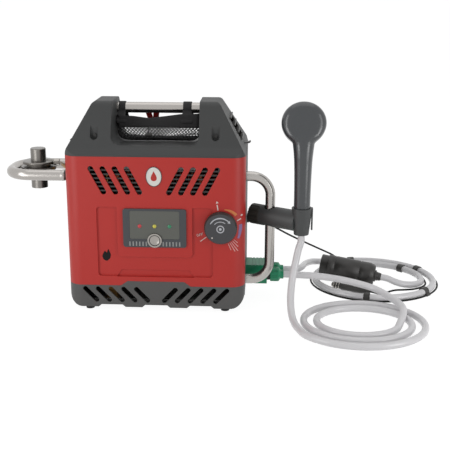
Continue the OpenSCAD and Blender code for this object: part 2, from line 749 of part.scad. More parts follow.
module water_inlet_pipe() color("peru")
    pipe([[side_x - port_in, hose_y[1], hose_z], [side_x - 25, hose_y[1], hose_z],
          [side_x - 25, hose_y[1], header_z], [header_x[1], hose_y[1], header_z]], pipe_r);

module water_outlet_pipe() color("peru") {
    pipe([[header_x[1], water_y[0] + 10, header_z], [knob_x, water_y[0] + 10, header_z],
          [knob_x, valve_y[0] + 20, header_z],
          [knob_x, valve_y[0] + 20, knob_z + knob_valve_half]], pipe_r);
    pipe([[knob_x, valve_y[0] + 20, knob_z - knob_valve_half], [knob_x, valve_y[0] + 20, port_z + 29],
          [knob_x, hose_y[0], port_z + 29], [knob_x, hose_y[0], hose_z],
          [side_x - port_in, hose_y[0], hose_z]], pipe_r);
}

module battery() color("darkslateblue")
    box([-chassis_half, 20, floor_top + sheet], [-chassis_half + 60, chassis_y[1] - sheet, floor_top + 70]);

module port_block() color("seagreen") difference() {
    union() {
        box([side_x - port_in, port_y - port_half_y, port_z - port_half_z],
            [side_x + port_out, port_y + port_half_y, port_z + port_half_z]);
        for (y = hose_y) rod_x(6, side_x + port_out - 1, side_x + port_out + 5, y, hose_z);
    }
    for (i = [0:3]) box([side_x + 12 + 7 * i, port_y - port_half_y - cut, port_z + port_half_z - 1],
                        [side_x + 14 + 7 * i, port_y + port_half_y + cut, port_z + port_half_z + cut]);
}

module port_seals() color("black") for (y = hose_y) difference() {
    rod_x(12, side_x + port_out, nut_x, y, hose_z);
    rod_x(6, side_x + port_out - cut, side_x + port_out + 5, y, hose_z);
}

module hose_nuts() color("seagreen") for (y = hose_y) translate([nut_x, y, hose_z]) rotate([0, 90, 0]) {
    difference() {
        cylinder(r = 14.85, h = 17);
        for (a = [0:45:315]) rotate(a) translate([16.2, 0, -cut]) cylinder(r = 3, h = 14, $fn = 16);
    }
    translate([0, 0, 17]) cylinder(r1 = 14.85, r2 = 9.25, h = 4);
    translate([0, 0, 21]) cylinder(r = 9.25, h = 6);
}

module power_socket() color("black") translate([side_x - wall, socket_at[0], socket_at[1]]) rotate([0, 90, 0]) {
    cylinder(r = socket_r - 2, h = wall);
    translate([0, 0, wall]) cylinder(r = socket_r, h = 5);
    translate([0, 0, wall + 5]) cylinder(r1 = 4.5, r2 = lead_r + 1, h = lead_exit - 5);
}

// ---------------------------------------------------------------- rack tube, holder and handset

rack_y = -50;
rack_z = [base_top - 3, shell_top - 47.8];
rack_seat = 12;
rack_x = side_x + rack_out;
holder_z = 185;

module elbow(r, bend, a) rotate_extrude(angle = a) translate([bend, 0]) circle(r = r);

module rack_tube() color("silver") {
    for (z = rack_z) rod_x(rack_r, side_x - wall - rack_seat, rack_x - rack_bend, rack_y, z);
    translate([rack_x, rack_y, rack_z[0] + rack_bend]) cylinder(r = rack_r,
        h = rack_z[1] - rack_z[0] - 2 * rack_bend);
    translate([rack_x - rack_bend, rack_y, rack_z[0] + rack_bend]) rotate([90, 0, 0]) rotate(-90)
        elbow(rack_r, rack_bend, 90);
    translate([rack_x - rack_bend, rack_y, rack_z[1] - rack_bend]) rotate([90, 0, 0]) elbow(rack_r,
        rack_bend, 90);
}

bush_r = rack_r + run_gap + bush_wall;
bush_half = 14;
cradle_z = [160, 213];
cradle_r = [handle_r - 5, handle_r];          // the handset's tail in the cradle, low and high
cradle_wall = 3.6;
knob_split = bush_r + 4;                       // where the clamp knob meets the barrel
knob_long = 26;

module at_holder() translate([rack_x, rack_y, holder_z]) rotate([0, 0, holder_angle]) children();

module holder_bush() color("black") at_holder() difference() {
    translate([0, 0, -bush_half]) cylinder(r = bush_r, h = 2 * bush_half);
    translate([0, 0, -bush_half - cut]) cylinder(r = rack_r + run_gap, h = 2 * bush_half + 2 * cut);
}

module holder_body() color("dimgray") at_holder() difference() {
    union() {
        rotate([0, 90, 0]) translate([0, 0, -knob_split]) cylinder(r = barrel_r, h = knob_split + reach - 8);
        translate([reach, 0, cradle_z[0] - holder_z])
            cylinder(r1 = cradle_r[0] + cradle_wall, r2 = cradle_r[1] + cradle_wall + 0.4,
                h = cradle_z[1] - cradle_z[0]);
        translate([reach, 0, 0]) rotate([0, 0, -holder_angle])
            box([cradle_r[1] + 2.5, -6, cradle_z[0] + 10 - holder_z],
                [cradle_r[1] + 5.4, 6, cradle_z[1] - holder_z]);
    }
    translate([0, 0, -2 * barrel_r]) cylinder(r = bush_r + run_gap, h = 4 * barrel_r);
    translate([reach, 0, cradle_z[0] - holder_z])
        cylinder(r1 = cradle_r[0] + side_gap, r2 = cradle_r[1] + side_gap, h = cradle_z[1] - cradle_z[0]);
    translate([reach, 0, cradle_z[1] - holder_z]) cylinder(r = cradle_r[1] + side_gap, h = cut);
    translate([reach, 0, cradle_z[0] - holder_z - cut]) cylinder(r = cradle_r[0] + side_gap, h = cut);
    rotate([0, -90, 0]) cylinder(r = 4 + run_gap, h = knob_split + cut);
}

module clamp_knob() color("black") at_holder() rotate([0, -90, 0]) {
    translate([0, 0, bush_r + side_gap]) cylinder(r = 4, h = knob_split - bush_r + 1);
    difference() {
        translate([0, 0, knob_split + side_gap]) cylinder(r = barrel_r, h = knob_long - 2);
        for (a = [0:30:330]) rotate(a) translate([barrel_r + 1, 0, knob_split + 4]) cylinder(r = 2,
            h = knob_long, $fn = 16);
    }
    translate([0, 0, knob_split + side_gap + knob_long - 2]) cylinder(r1 = barrel_r - 1.5,
        r2 = barrel_r - 4, h = 2);
}

head_z = 374;
head_out = 20.6;                     // the head's middle stands that far forward of the handle
head_back = 27;                      // depth of its dome
head_tilt = 16;
neck_z = 325;                        // above this the handle leans as the head does
neck_long = 38;
neck_r = handle_r + 3;
channel_r = 6;
tail_z = cradle_z[0] - 2;
hose_deep = 62;                      // how far the hose reaches up inside the handle
face_r = head_r - 5;

// the handle: radius and height from the tail up to the neck
handle_outline = [[0, tail_z], [9.5, tail_z], [cradle_r[0], cradle_z[0]], [cradle_r[1], cradle_z[1]],
                  [handle_r, 238], [handle_r + 0.7, 280], [handle_r + 1.5, 305], [neck_r, neck_z],
                      [0, neck_z]];

// the head's back is half an ellipse, its front a low rim
head_outline = concat([[0, 13], [0, -head_back]],
    [for (a = [-80:10:0]) [head_r * cos(a), head_back * sin(a)]],
    [[head_r - 0.3, 5], [head_r - 1.5, 10], [head_r - 4, 13]]);

module at_handset()
    translate([rack_x + reach * cos(holder_angle), rack_y + reach * sin(holder_angle), 0]) children();

module head_axis() at_handset() translate([0, head_out, head_z]) rotate([-90 - head_tilt, 0, 0]) children();

// the leaning neck, or the channel in it
module neck(r, h) at_handset() translate([0, 0, neck_z]) {
    sphere(r = r + 0.2);
    rotate([-head_tilt, 0, 0]) cylinder(r = r, h = h);
}

module handset_shell() color("slategray") difference() {
    union() {
        at_handset() rotate_extrude() polygon(handle_outline);
        neck(neck_r, neck_long);
        head_axis() rotate_extrude() polygon(head_outline);
    }
    head_axis() translate([0, 0, 10]) cylinder(r = face_r, h = 10);
    head_axis() translate([0, 0, -6]) cylinder(r = face_r - 6, h = 17);
    at_handset() translate([0, 0, tail_z + hose_deep + 2]) cylinder(r = channel_r,
        h = neck_z - tail_z - hose_deep - 2);
    neck(channel_r, neck_long - 8);
    at_handset() translate([0, 0, tail_z - cut]) cylinder(r = hose_r + side_gap, h = hose_deep + cut + 3);
}

module spray_face() color("gray") head_axis() difference() {
    translate([0, 0, 10]) cylinder(r = face_r, h = 2.5);
    for (k = [1:3], a = [0:60 / k:359])
        rotate(a) translate([k * face_r / 3.9, 0, 9]) cylinder(r = 0.9, h = 5, $fn = 16);
}

// ---------------------------------------------------------------- gas arm and regulator

hinge_x = -side_x - arm_r - 1;
arm_y = -3;
arm_bend = 45;
arm_x = hinge_x - arm_reach;
run_y = [arm_y - arm_half, arm_y + arm_half];
reg_x = hinge_x - 62.5;
ear = 4.5;
knuckle = arm_r + 0.4;               // radius of the arm's hinge knuckles
ear_y = [run_y[0] + knuckle + side_gap, run_y[1] - knuckle - side_gap - ear];
ear_r = 9;
bridge_z = [hinge_z - 2.5, hinge_z + 0.5];
port_boss_z = hinge_z + 15;
gas_y = arm_y + 16;
barrel_y = [arm_y - 8, arm_y + 8];
swivel_pin_r = 3.5;

module arm_bracket() color("gray") {
    difference() {
        union() {
            box([-side_x - 2.5, ear_y[0], hinge_z - 14], [-side_x, ear_y[1] + ear, hinge_z + 14]);
            for (y = ear_y) {
                box([hinge_x, y, hinge_z - ear_r], [-side_x - 2, y + ear, hinge_z + ear_r]);
                rod_y(ear_r, y, y + ear, hinge_x, hinge_z);
            }
        }
        rod_x(gas_r, -side_x - 4, -side_x + cut, gas_y, hinge_z);
    }
    rod_y(pin_r, run_y[0] - 6, ear_y[0] + 1, hinge_x, hinge_z);
    rod_y(pin_r, ear_y[1] + ear - 1, run_y[1] + 6, hinge_x, hinge_z);
}

module arm_tube() color("silver") difference() {
    union() {
        for (y = run_y) {
            rod_x(arm_r, arm_x + arm_bend, hinge_x, y, hinge_z);
            translate([hinge_x, y, hinge_z]) sphere(r = knuckle);
        }
        rod_y(arm_r, run_y[0] + arm_bend, run_y[1] - arm_bend, arm_x, hinge_z);
        translate([arm_x + arm_bend, run_y[0] + arm_bend, hinge_z]) rotate(180) elbow(arm_r, arm_bend, 90);
        translate([arm_x + arm_bend, run_y[1] - arm_bend, hinge_z]) rotate(90) elbow(arm_r, arm_bend, 90);
        box([reg_x - 22, run_y[0], bridge_z[0]], [reg_x + 22, run_y[1], bridge_z[1]]);
    }
    translate([reg_x, arm_y, 0]) cylinder(r = inlet_r + 0.1, h = 2 * hinge_z);
    rod_y(pin_r + run_gap, run_y[0] - 7, run_y[0] + 2 * arm_r, hinge_x, hinge_z);
    rod_y(pin_r + run_gap, run_y[1] - 2 * arm_r, run_y[1] + 7, hinge_x, hinge_z);
}

inlet_z = hinge_z - 37;
thread_h = 14;

// radius and height above the hinge
regulator_outline = [[0, 0.5], [flange_r, 0.5], [flange_r, 7], [24, 8], [24, 12], [31.5, 13], [31.5, 17],
                     [30, 18], [15.5, 19], [15.5, 42], [14.5, 43.5], [0, 43.5]];

module regulator() color("silver") difference() {
    union() {
        translate([reg_x, arm_y, hinge_z]) rotate_extrude() polygon(regulator_outline);
        translate([reg_x, arm_y, inlet_z]) cylinder(r = inlet_r, h = hinge_z - inlet_z + 1);
        rod_x(5.5, reg_x, reg_x + 32, arm_y, port_boss_z);
    }
    translate([reg_x, arm_y, inlet_z - cut]) cylinder(r = inlet_thread_r, h = thread_h + cut);
}

module gas_swivel() color("goldenrod") difference() {
    union() {
        translate([reg_x + 32, arm_y, port_boss_z]) rotate([0, 90, 0]) cylinder(r = 7, h = 11, $fn = 6);
        along([reg_x + 42, arm_y, port_boss_z], [hinge_x, arm_y, hinge_z])
            cylinder(r = 3.5, h = norm([hinge_x - reg_x - 42, port_boss_z - hinge_z]));
        rod_y(7, barrel_y[0], barrel_y[1], hinge_x, hinge_z);
    }
    rod_y(swivel_pin_r + run_gap, barrel_y[0] - cut, barrel_y[1] + cut, hinge_x, hinge_z);
}

module gas_pipe() color("goldenrod") {
    rod_y(swivel_pin_r, barrel_y[0] + 1, gas_y, hinge_x, hinge_z);
    box([hinge_x - 7, barrel_y[1] + side_gap, hinge_z - 7], [-side_x - 2.5, gas_y + 5, hinge_z + 7]);
    pipe([[-side_x - 3, gas_y, hinge_z], [gas_valve_x, gas_y, hinge_z], [gas_valve_x, rail_y, hinge_z],
          [gas_valve_x, rail_y, rail_z + valve_half]], gas_r);
}

// ---------------------------------------------------------------- hoses, pump and power lead

// directions of the tube's rings, carried along the path without twist
function tangents(p, before, after) = [
    for (i = [0:len(p) - 1])
        unit((i < len(p) - 1 ? p[i + 1] : after) - (i > 0 ? p[i - 1] : before))];
function square_to(n, t) = unit(n - t * (n * t));
function normals(t) = [
    for (i = 0, n = square_to(abs(t[0][2]) < 0.9 ? [0, 0, 1] : [1, 0, 0], t[0]); i < len(t);
         i = i + 1, n = i < len(t) ? square_to(n, t[i]) : n) n];

// one unbroken tube along the points p; before and after are the neighbours on the tubes it meets
module tube(p, r, sides, before = undef, after = undef) {
    t = tangents(p, is_undef(before) ? p[0] : before, is_undef(after) ? p[len(p) - 1] : after);
    n = normals(t);
    k = len(p);
    points = [for (i = [0:k - 1], j = [0:sides - 1])
              let (a = 360 * (j + 0.5) / sides) p[i] + r * (cos(a) * n[i] + sin(a) * cross(t[i], n[i]))];
    walls = [for (i = [0:k - 2], j = [0:sides - 1])
             let (a = i * sides + j, b = a + sides, c = (i + 1) * sides + (j + 1) % sides,
                  d = i * sides + (j + 1) % sides)
             each [[a, b, c], [a, c, d]]];
    ends = [for (j = [1:sides - 2])
            each [[0, j, j + 1], [(k - 1) * sides, (k - 1) * sides + j + 1, (k - 1) * sides + j]]];
    polyhedron(points, concat(walls, ends));
}

// least distance between turns of a coil, leaving out neighbours on the tube
function least_gap(p, r, skip) = min([
    for (i = [0:len(p) - 1 - skip], j = [i + skip:len(p) - 1]) norm(p[i] - p[j])]) - 2 * r;

rings = 24;                          // rings in one turn of a coil
ring_step = 360 / rings;

// shower hose: an oval spiral on the floor, clockwise from above
shower_mid = [399, -162];
shower_stretch = 14;
shower_r0 = 55;
shower_t = [50, 890];
function shower_at(t) =
    let (a = 32 - t, r = shower_r0 + shower_pitch * t / 360)
    [shower_mid[0] + (r + shower_stretch) * cos(a), shower_mid[1] + r * sin(a), hose_r];
shower_coil = [for (t = [shower_t[0]:ring_step:shower_t[1]]) shower_at(t)];

shower_lead_route = [[262, -14, 51], [290, -16, 50.5], [325, -20, 50], [363, -26, 47], [401, -29, 40],
                     [431, -40, 35], [452, -58, 31], [468, -80, 27], [479, -100, 25], [484, -122, 23.5],
                     [481, -147, 18.5], [473, -168, 11]];
riser_route = [[290, -227, 7], [281, -208, 8], [274, -190, 10], [269, -172, 15], [266, -154, 25],
    [265, -138, 39],
               [266, -123, 57], [269, -109, 79], [274, -98, 104], [280, -90, 131]];

module shower_hose_lead() color("gainsboro")
    tube(concat([[hose_x, hose_y[0], hose_z]], shower_lead_route, [shower_coil[0]]), hose_r, 8,
         after = shower_coil[1]);

module shower_hose_coil() color("gainsboro") {
    echo("least gap of the shower hose's coil", least_gap(shower_coil, hose_r, rings / 2));
    tube(shower_coil, hose_r, 6, shower_lead_route[len(shower_lead_route) - 1], riser_route[0]);
}

tail_x = rack_x + reach * cos(holder_angle);
tail_y = rack_y + reach * sin(holder_angle);

module shower_hose_riser() color("gainsboro")
    tube(concat([shower_coil[len(shower_coil) - 1]], riser_route,
                [for (z = [-2 * hose_r, 8, 26, 44, hose_deep]) [tail_x, tail_y, tail_z + z]]), hose_r, 8,
         before = shower_coil[len(shower_coil) - 2]);

// pump hose: a loose turn and a third, clockwise from above, that ends at the pump
pump_mid = [455, 100];
pump_turn = 475;
function pump_r(t) = 134 - 22 * t / 360 + 10 * cos(t + 110);
function pump_at(t, side = 0, z = hose_r) =
    let (a = 115 - t, r = pump_r(t))
    [pump_mid[0] + (1.05 * r + side) * cos(a), pump_mid[1] + (0.97 * r + side) * sin(a), z];
pump_coil = [for (t = [0:ring_step:pump_turn]) pump_at(t)];

pump_lead_route = [[264, 18, 51], [282, 30, 48], [294, 60, 43], [300, 95, 36], [308, 130, 29], [322, 165, 21],
                   [344, 192, 13], [370, 208, 8]];
nozzle_route = [[554, 81, 7], [543, 64.5, 7.5], [527, 54, 9], [508, 50, 12], [492, 50, 17]];

pump_ends = [[336, 82, 41], [450, 58, 26.5]];
pump_way = unit(pump_ends[1] - pump_ends[0]);
nozzle_long = 14;
nozzle_tip = pump_ends[1] + pump_way * nozzle_long;

module pump_hose_lead() color("gainsboro")
    tube(concat([[hose_x, hose_y[1], hose_z]], pump_lead_route, [pump_coil[0]]), hose_r, 8,
         after = pump_coil[1]);

module pump_hose_coil() color("gainsboro") {
    echo("least gap of the pump hose's coil", least_gap(pump_coil, hose_r, rings / 2));
    tube(concat(pump_coil, nozzle_route, [nozzle_tip + pump_way * 2 * hose_r, nozzle_tip]), hose_r, 6,
         before = pump_lead_route[len(pump_lead_route) - 1]);
}

module pump_body() color("black") along(pump_ends[0], pump_ends[1]) {
    long = norm(pump_ends[1] - pump_ends[0]);
    difference() {
        union() {
            cylinder(r = pump_body_r - 2, h = 16);
            translate([0, 0, 16]) cylinder(r = pump_body_r, h = long - 26);
            translate([0, 0, long - 10]) cylinder(r1 = pump_body_r, r2 = pump_body_r - 6, h = 10);
        }
        for (a = [0:45:315]) rotate(a) translate([pump_body_r - 10, 0, -cut]) cylinder(r = 2.5, h = 8,
            $fn = 16);
    }
}

module pump_nozzle() color("black") along(pump_ends[1], nozzle_tip) {
    cylinder(r = 12, h = 4);
    cylinder(r = 8.5, h = nozzle_long);
}

// power lead: hangs from its socket to the coil, then lies beside the pump hose
lead_side = hose_r + 2.3;
lead_lift = lead_r + 0.3;
lead_route = [[212, 42, 148], [237, 66, 128], [268, 97, 103], [300, 129, 79], [330, 159, 57],
              [353, 183, 40], [368, 201, 28], [378, 214, 18], [385.5, 221.5, 8.5]];
plug_ends = [[360, 50, 8.3], [436, 8, 8.3]];
plug_way = unit(plug_ends[1] - plug_ends[0]);
lead_tail = [[563.5, 78, 2.2], [550.5, 57.5, 2.2], [531.5, 45, 2.2], [511, 40, 2.2], [494, 37, 2.2],
             [480, 28, 2.2], [469, 15, 2.6], [458, 5, 4.5]];
lead_coil = [for (t = [0:ring_step:pump_turn]) pump_at(t, lead_side, lead_lift)];

module power_lead() color("black")
    tube(concat([[side_x + lead_exit, socket_at[0], socket_at[1]],
                 [side_x + lead_exit + 5, socket_at[0], socket_at[1]]], lead_route, [lead_coil[0]]), lead_r,
                     8,
         after = lead_coil[1]);

module power_lead_coil() color("black") {
    echo("least gap of the power lead's coil", least_gap(lead_coil, lead_r, rings / 2));
    tube(concat(lead_coil, lead_tail, [plug_ends[1] + plug_way * 4 * lead_r, plug_ends[1]]), lead_r, 6,
         before = lead_route[len(lead_route) - 1]);
}

module lead_plug() color("black") along(plug_ends[0], plug_ends[1]) {
    long = norm(plug_ends[1] - plug_ends[0]);
    cylinder(r1 = 4, r2 = 5.5, h = 4);
    for (i = [0:2]) translate([0, 0, 4 + 6 * i]) {
        cylinder(r = 7, h = 3);
        translate([0, 0, 3]) cylinder(r = 6, h = 3);
    }
    translate([0, 0, 22]) cylinder(r = 8, h = long - 42);
    translate([0, 0, long - 20]) cylinder(r1 = 8, r2 = 4, h = 14);
    translate([0, 0, long - 6]) cylinder(r = 3, h = 6);
}

clip_at = [0, 5, 10, 14, 28];         // rings of the coil that the clips sit behind
clip_wall = 1.8;
clip_long = 13;
clip_gap = 0.35;

// a clip that holds the hose and the lead together, open where it lies on the floor
module hose_clip(i) {
    way = pump_coil[i + 1] - pump_coil[i];
    out = (lead_coil[i] + lead_coil[i + 1] - pump_coil[i] - pump_coil[i + 1]) / 2;
    apart = norm([out[0], out[1]]);
    translate((pump_coil[i] + pump_coil[i + 1]) / 2) rotate([0, 0, atan2(way[1], way[0])]) difference() {
        union() {
            rod_x(hose_r + clip_gap + clip_wall, -clip_long / 2, clip_long / 2, 0, 0);
            rod_x(lead_r + clip_gap + clip_wall, -clip_long / 2, clip_long / 2, apart, out[2]);
        }
        rod_x(hose_r + clip_gap, -clip_long, clip_long, 0, 0);
        rod_x(lead_r + clip_gap, -clip_long, clip_long, apart, out[2]);
        box([-clip_long, -30, -30], [clip_long, 30, -hose_r]);
    }
}

module hose_clips() color("black") for (i = clip_at) hose_clip(i);

// ---------------------------------------------------------------- the parts

base_tray();
feet();
front_panel();
rear_shell();
top_cap();
side_louvre();
case_screws();
carry_bar();
pouch();
pouch_straps();
display_bezel();
display_label();
status_lights();
button_ring();
power_button();
button_spring();
temp_knob();
knob_spindle();
badge_plate();
flame_window();
vent_guards();
chassis();
combustion_chamber();
burner();
gas_manifold();
gas_valve();
gas_pipe();
igniter();
heat_exchanger();
flue_hood();
mixing_valve();
water_inlet_pipe();
water_outlet_pipe();
control_board();
battery();
port_block();
port_seals();
hose_nuts();
power_socket();
rack_tube();
holder_bush();
holder_body();
clamp_knob();
handset_shell();
spray_face();
arm_bracket();
arm_tube();
regulator();
gas_swivel();
shower_hose_lead();
shower_hose_coil();
shower_hose_riser();
pump_hose_lead();
pump_hose_coil();
pump_body();
pump_nozzle();
power_lead();
power_lead_coil();
lead_plug();
hose_clips();
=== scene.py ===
import bpy
import math
import numpy as np
from mathutils import Matrix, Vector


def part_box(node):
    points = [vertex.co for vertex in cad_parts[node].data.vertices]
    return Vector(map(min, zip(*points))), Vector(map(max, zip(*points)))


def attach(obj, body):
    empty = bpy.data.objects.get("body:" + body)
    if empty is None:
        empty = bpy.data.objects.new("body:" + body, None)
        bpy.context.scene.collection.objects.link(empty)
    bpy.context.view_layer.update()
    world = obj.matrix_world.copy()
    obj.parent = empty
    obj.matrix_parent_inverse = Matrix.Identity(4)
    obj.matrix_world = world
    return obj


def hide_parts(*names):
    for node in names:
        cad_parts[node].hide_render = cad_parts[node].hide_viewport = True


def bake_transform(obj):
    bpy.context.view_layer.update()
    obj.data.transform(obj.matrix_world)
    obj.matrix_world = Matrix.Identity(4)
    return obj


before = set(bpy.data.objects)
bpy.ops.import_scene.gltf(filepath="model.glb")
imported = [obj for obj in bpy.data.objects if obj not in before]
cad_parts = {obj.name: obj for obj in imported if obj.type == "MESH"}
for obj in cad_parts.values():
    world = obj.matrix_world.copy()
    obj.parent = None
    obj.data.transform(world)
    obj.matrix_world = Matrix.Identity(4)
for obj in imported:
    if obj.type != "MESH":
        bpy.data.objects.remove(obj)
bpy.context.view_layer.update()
print("frame loaded:", len(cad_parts), "nodes")

viewpoint = {
    "place": (0.2102, -1.7110, 0.6355),
    "yaw": 2.651,                        # degrees to the left of +Y
    "pitch": 15.80,                      # degrees down
    "roll": 0.208,
    "lens": 69.05,                       # on a sensor 36 mm wide
}


def addCamera(v):
    yaw, pitch, roll = (math.radians(v[k]) for k in ("yaw", "pitch", "roll"))
    look = np.array([-math.sin(yaw) * math.cos(pitch), math.cos(yaw) * math.cos(pitch), -math.sin(pitch)])
    side = np.array([math.cos(yaw), math.sin(yaw), 0.0])
    rise = np.cross(side, look)
    right = math.cos(roll) * side + math.sin(roll) * rise
    top = -math.sin(roll) * side + math.cos(roll) * rise
    camera = bpy.data.objects.new("camera", bpy.data.cameras.new("camera"))
    camera.data.lens = v["lens"]
    turn = Matrix([list(row) for row in np.stack([right, top, -look], 1)]).to_4x4()
    camera.matrix_world = Matrix.Translation(v["place"]) @ turn
    bpy.context.scene.collection.objects.link(camera)
    bpy.context.scene.camera = camera


addCamera(viewpoint)
bpy.context.scene.view_settings.view_transform = "Standard"
print("camera placed")


# a colour as it shows on a screen, 0 to 255, in the values a shader wants
def paint(red, green, blue):
    c = np.array([red, green, blue]) / 255
    c = np.where(c > 0.04045, ((c + 0.055) / 1.055) ** 2.4, c / 12.92)
    return (float(c[0]), float(c[1]), float(c[2]), 1.0)


def addNode(tree, kind, values=None, **settings):
    node = tree.nodes.new(kind)
    for key, value in settings.items():
        setattr(node, key, value)
    for key, value in (values or {}).items():
        node.inputs[key].default_value = value
    return node


def join(tree, *pairs):
    for start, end in pairs:
        tree.links.new(start, end)


# a node group with named inputs (name: (type, default)) and outputs (name: type)
def newGroup(name, inputs, outputs):
    group = bpy.data.node_groups.new(name, "ShaderNodeTree")
    for key, (kind, default) in inputs.items():
        socket = group.interface.new_socket(key, in_out="INPUT", socket_type="NodeSocket" + kind)
        socket.default_value = default
    for key, kind in outputs.items():
        group.interface.new_socket(key, in_out="OUTPUT", socket_type="NodeSocket" + kind)
    return group, group.nodes.new("NodeGroupInput").outputs, group.nodes.new("NodeGroupOutput").inputs


# fine pebbled height of moulded plastic and powder coat: noise over noise
def buildMouldGrain():
    group, given, out = newGroup(
        "mouldGrain", {"Scale": ("Float", 900.0), "Blend": ("Float", 0.5)}, {"Height": "Float"})
    where = addNode(group, "ShaderNodeTexCoord")
    pebble = addNode(group, "ShaderNodeTexVoronoi", feature="SMOOTH_F1")
    cloud = addNode(group, "ShaderNodeTexNoise", {"Detail": 3.0, "Roughness": 0.6})
    mix = addNode(group, "ShaderNodeMix")
    for texture in (pebble, cloud):
        group.links.new(where.outputs["Object"], texture.inputs["Vector"])
        group.links.new(given["Scale"], texture.inputs["Scale"])
    group.links.new(given["Blend"], mix.inputs["Factor"])
    group.links.new(pebble.outputs["Distance"], mix.inputs["A"])
    group.links.new(cloud.outputs["Fac"], mix.inputs["B"])
    group.links.new(mix.outputs["Result"], out["Height"])
    return group


# slow cloudy change of a colour and of a roughness over a surface
def buildHandling():
    group, given, out = newGroup(
        "handling",
        {"Color": ("Color", (0.5, 0.5, 0.5, 1)), "Roughness": ("Float", 0.5), "Drift": ("Float", 0.06),
         "Rub": ("Float", 0.06), "Scale": ("Float", 9.0)},
        {"Color": "Color", "Roughness": "Float"},
    )
    where = addNode(group, "ShaderNodeTexCoord")
    cloud = addNode(group, "ShaderNodeTexNoise", {"Detail": 5.0, "Roughness": 0.62})
    middle = addNode(group, "ShaderNodeMath", {1: 0.5}, operation="SUBTRACT")
    shade = addNode(group, "ShaderNodeMath", {2: 1.0}, operation="MULTIPLY_ADD")
    tint = addNode(group, "ShaderNodeVectorMath", operation="SCALE")
    rub = addNode(group, "ShaderNodeMath", operation="MULTIPLY_ADD")
    join(
        group,
        (where.outputs["Object"], cloud.inputs["Vector"]), (given["Scale"], cloud.inputs["Scale"]),
        (cloud.outputs["Fac"], middle.inputs[0]), (middle.outputs[0], shade.inputs[0]),
        (given["Drift"], shade.inputs[1]), (given["Color"], tint.inputs[0]),
        (shade.outputs[0], tint.inputs["Scale"]), (tint.outputs[0], out["Color"]),
        (middle.outputs[0], rub.inputs[0]),
        (given["Rub"], rub.inputs[1]), (given["Roughness"], rub.inputs[2]),
        (rub.outputs[0], out["Roughness"]),
    )
    return group


# softened edges, and a rubbed colour on the outer ones broken up by noise
def buildEdgeWear():
    group, given, out = newGroup(
        "edgeWear",
        {"Color": ("Color", (0.5, 0.5, 0.5, 1)), "Worn": ("Color", (0.7, 0.7, 0.7, 1)),
         "Amount": ("Float", 0.3), "Radius": ("Float", 0.001)},
        {"Color": "Color", "Normal": "Vector"},
    )
    where = addNode(group, "ShaderNodeTexCoord")
    soft = addNode(group, "ShaderNodeBevel", samples=4)
    plain = addNode(group, "ShaderNodeNewGeometry")
    turn = addNode(group, "ShaderNodeVectorMath", operation="DOT_PRODUCT")
    edge = addNode(group, "ShaderNodeMapRange", {"From Min": 0.985, "From Max": 0.80})
    cloud = addNode(group, "ShaderNodeTexNoise", {"Scale": 70.0, "Detail": 4.0})
    patch = addNode(group, "ShaderNodeMapRange", {"From Min": 0.42, "From Max": 0.62})
    both = addNode(group, "ShaderNodeMath", operation="MULTIPLY")
    share = addNode(group, "ShaderNodeMath", operation="MULTIPLY")
    mix = addNode(group, "ShaderNodeMix", data_type="RGBA")
    join(
        group,
        (given["Radius"], soft.inputs["Radius"]), (soft.outputs["Normal"], out["Normal"]),
        (soft.outputs["Normal"], turn.inputs[0]), (plain.outputs["Normal"], turn.inputs[1]),
        (turn.outputs["Value"], edge.inputs["Value"]), (where.outputs["Object"], cloud.inputs["Vector"]),
        (cloud.outputs["Fac"], patch.inputs["Value"]), (edge.outputs["Result"], both.inputs[0]),
        (patch.outputs["Result"], both.inputs[1]), (both.outputs[0], share.inputs[0]),
        (given["Amount"], share.inputs[1]), (share.outputs[0], mix.inputs["Factor"]),
        (given["Color"], mix.inputs["A"]), (given["Worn"], mix.inputs["B"]),
        (mix.outputs["Result"], out["Color"]),
    )
    return group


# lines of a polished or drawn metal: noise that is stretched along one direction
def buildBrushLines():
    group, given, out = newGroup(
        "brushLines", {"Stretch": ("Vector", (20.0, 900.0, 900.0)), "Detail": ("Float", 4.0)},
        {"Height": "Float"})
    where = addNode(group, "ShaderNodeTexCoord")
    scale = addNode(group, "ShaderNodeVectorMath", operation="MULTIPLY")
    lines = addNode(group, "ShaderNodeTexNoise", {"Scale": 1.0, "Roughness": 0.7})
    join(
        group,
        (where.outputs["Object"], scale.inputs[0]), (given["Stretch"], scale.inputs[1]),
        (scale.outputs[0], lines.inputs["Vector"]), (given["Detail"], lines.inputs["Detail"]),
        (lines.outputs["Fac"], out["Height"]),
    )
    return group


# basket weave of a tape: two sets of threads over its own length and width, that take turns on top
def buildWeave():
    group, given, out = newGroup("weave", {"Threads": ("Float", 900.0)}, {"Height": "Float", "Dirt": "Float"})
    where = addNode(group, "ShaderNodeUVMap", uv_map="along")
    checks = addNode(group, "ShaderNodeTexChecker")
    bands = [addNode(group, "ShaderNodeTexWave", {"Distortion": 0.4}, bands_direction=d) for d in "XY"]
    over = addNode(group, "ShaderNodeMix")
    cloud = addNode(group, "ShaderNodeTexNoise", {"Scale": 160.0, "Detail": 3.0})
    for texture in (checks, *bands, cloud):
        group.links.new(where.outputs["UV"], texture.inputs["Vector"])
    for texture in (checks, *bands):
        group.links.new(given["Threads"], texture.inputs["Scale"])
    join(
        group,
        (checks.outputs["Fac"], over.inputs["Factor"]), (bands[0].outputs["Fac"], over.inputs["A"]),
        (bands[1].outputs["Fac"], over.inputs["B"]), (over.outputs["Result"], out["Height"]),
        (cloud.outputs["Fac"], out["Dirt"]),
    )
    return group


groups = {
    "mouldGrain": buildMouldGrain(),
    "handling": buildHandling(),
    "edgeWear": buildEdgeWear(),
    "brushLines": buildBrushLines(),
    "weave": buildWeave(),
}
print("shared effects built:", len(groups))


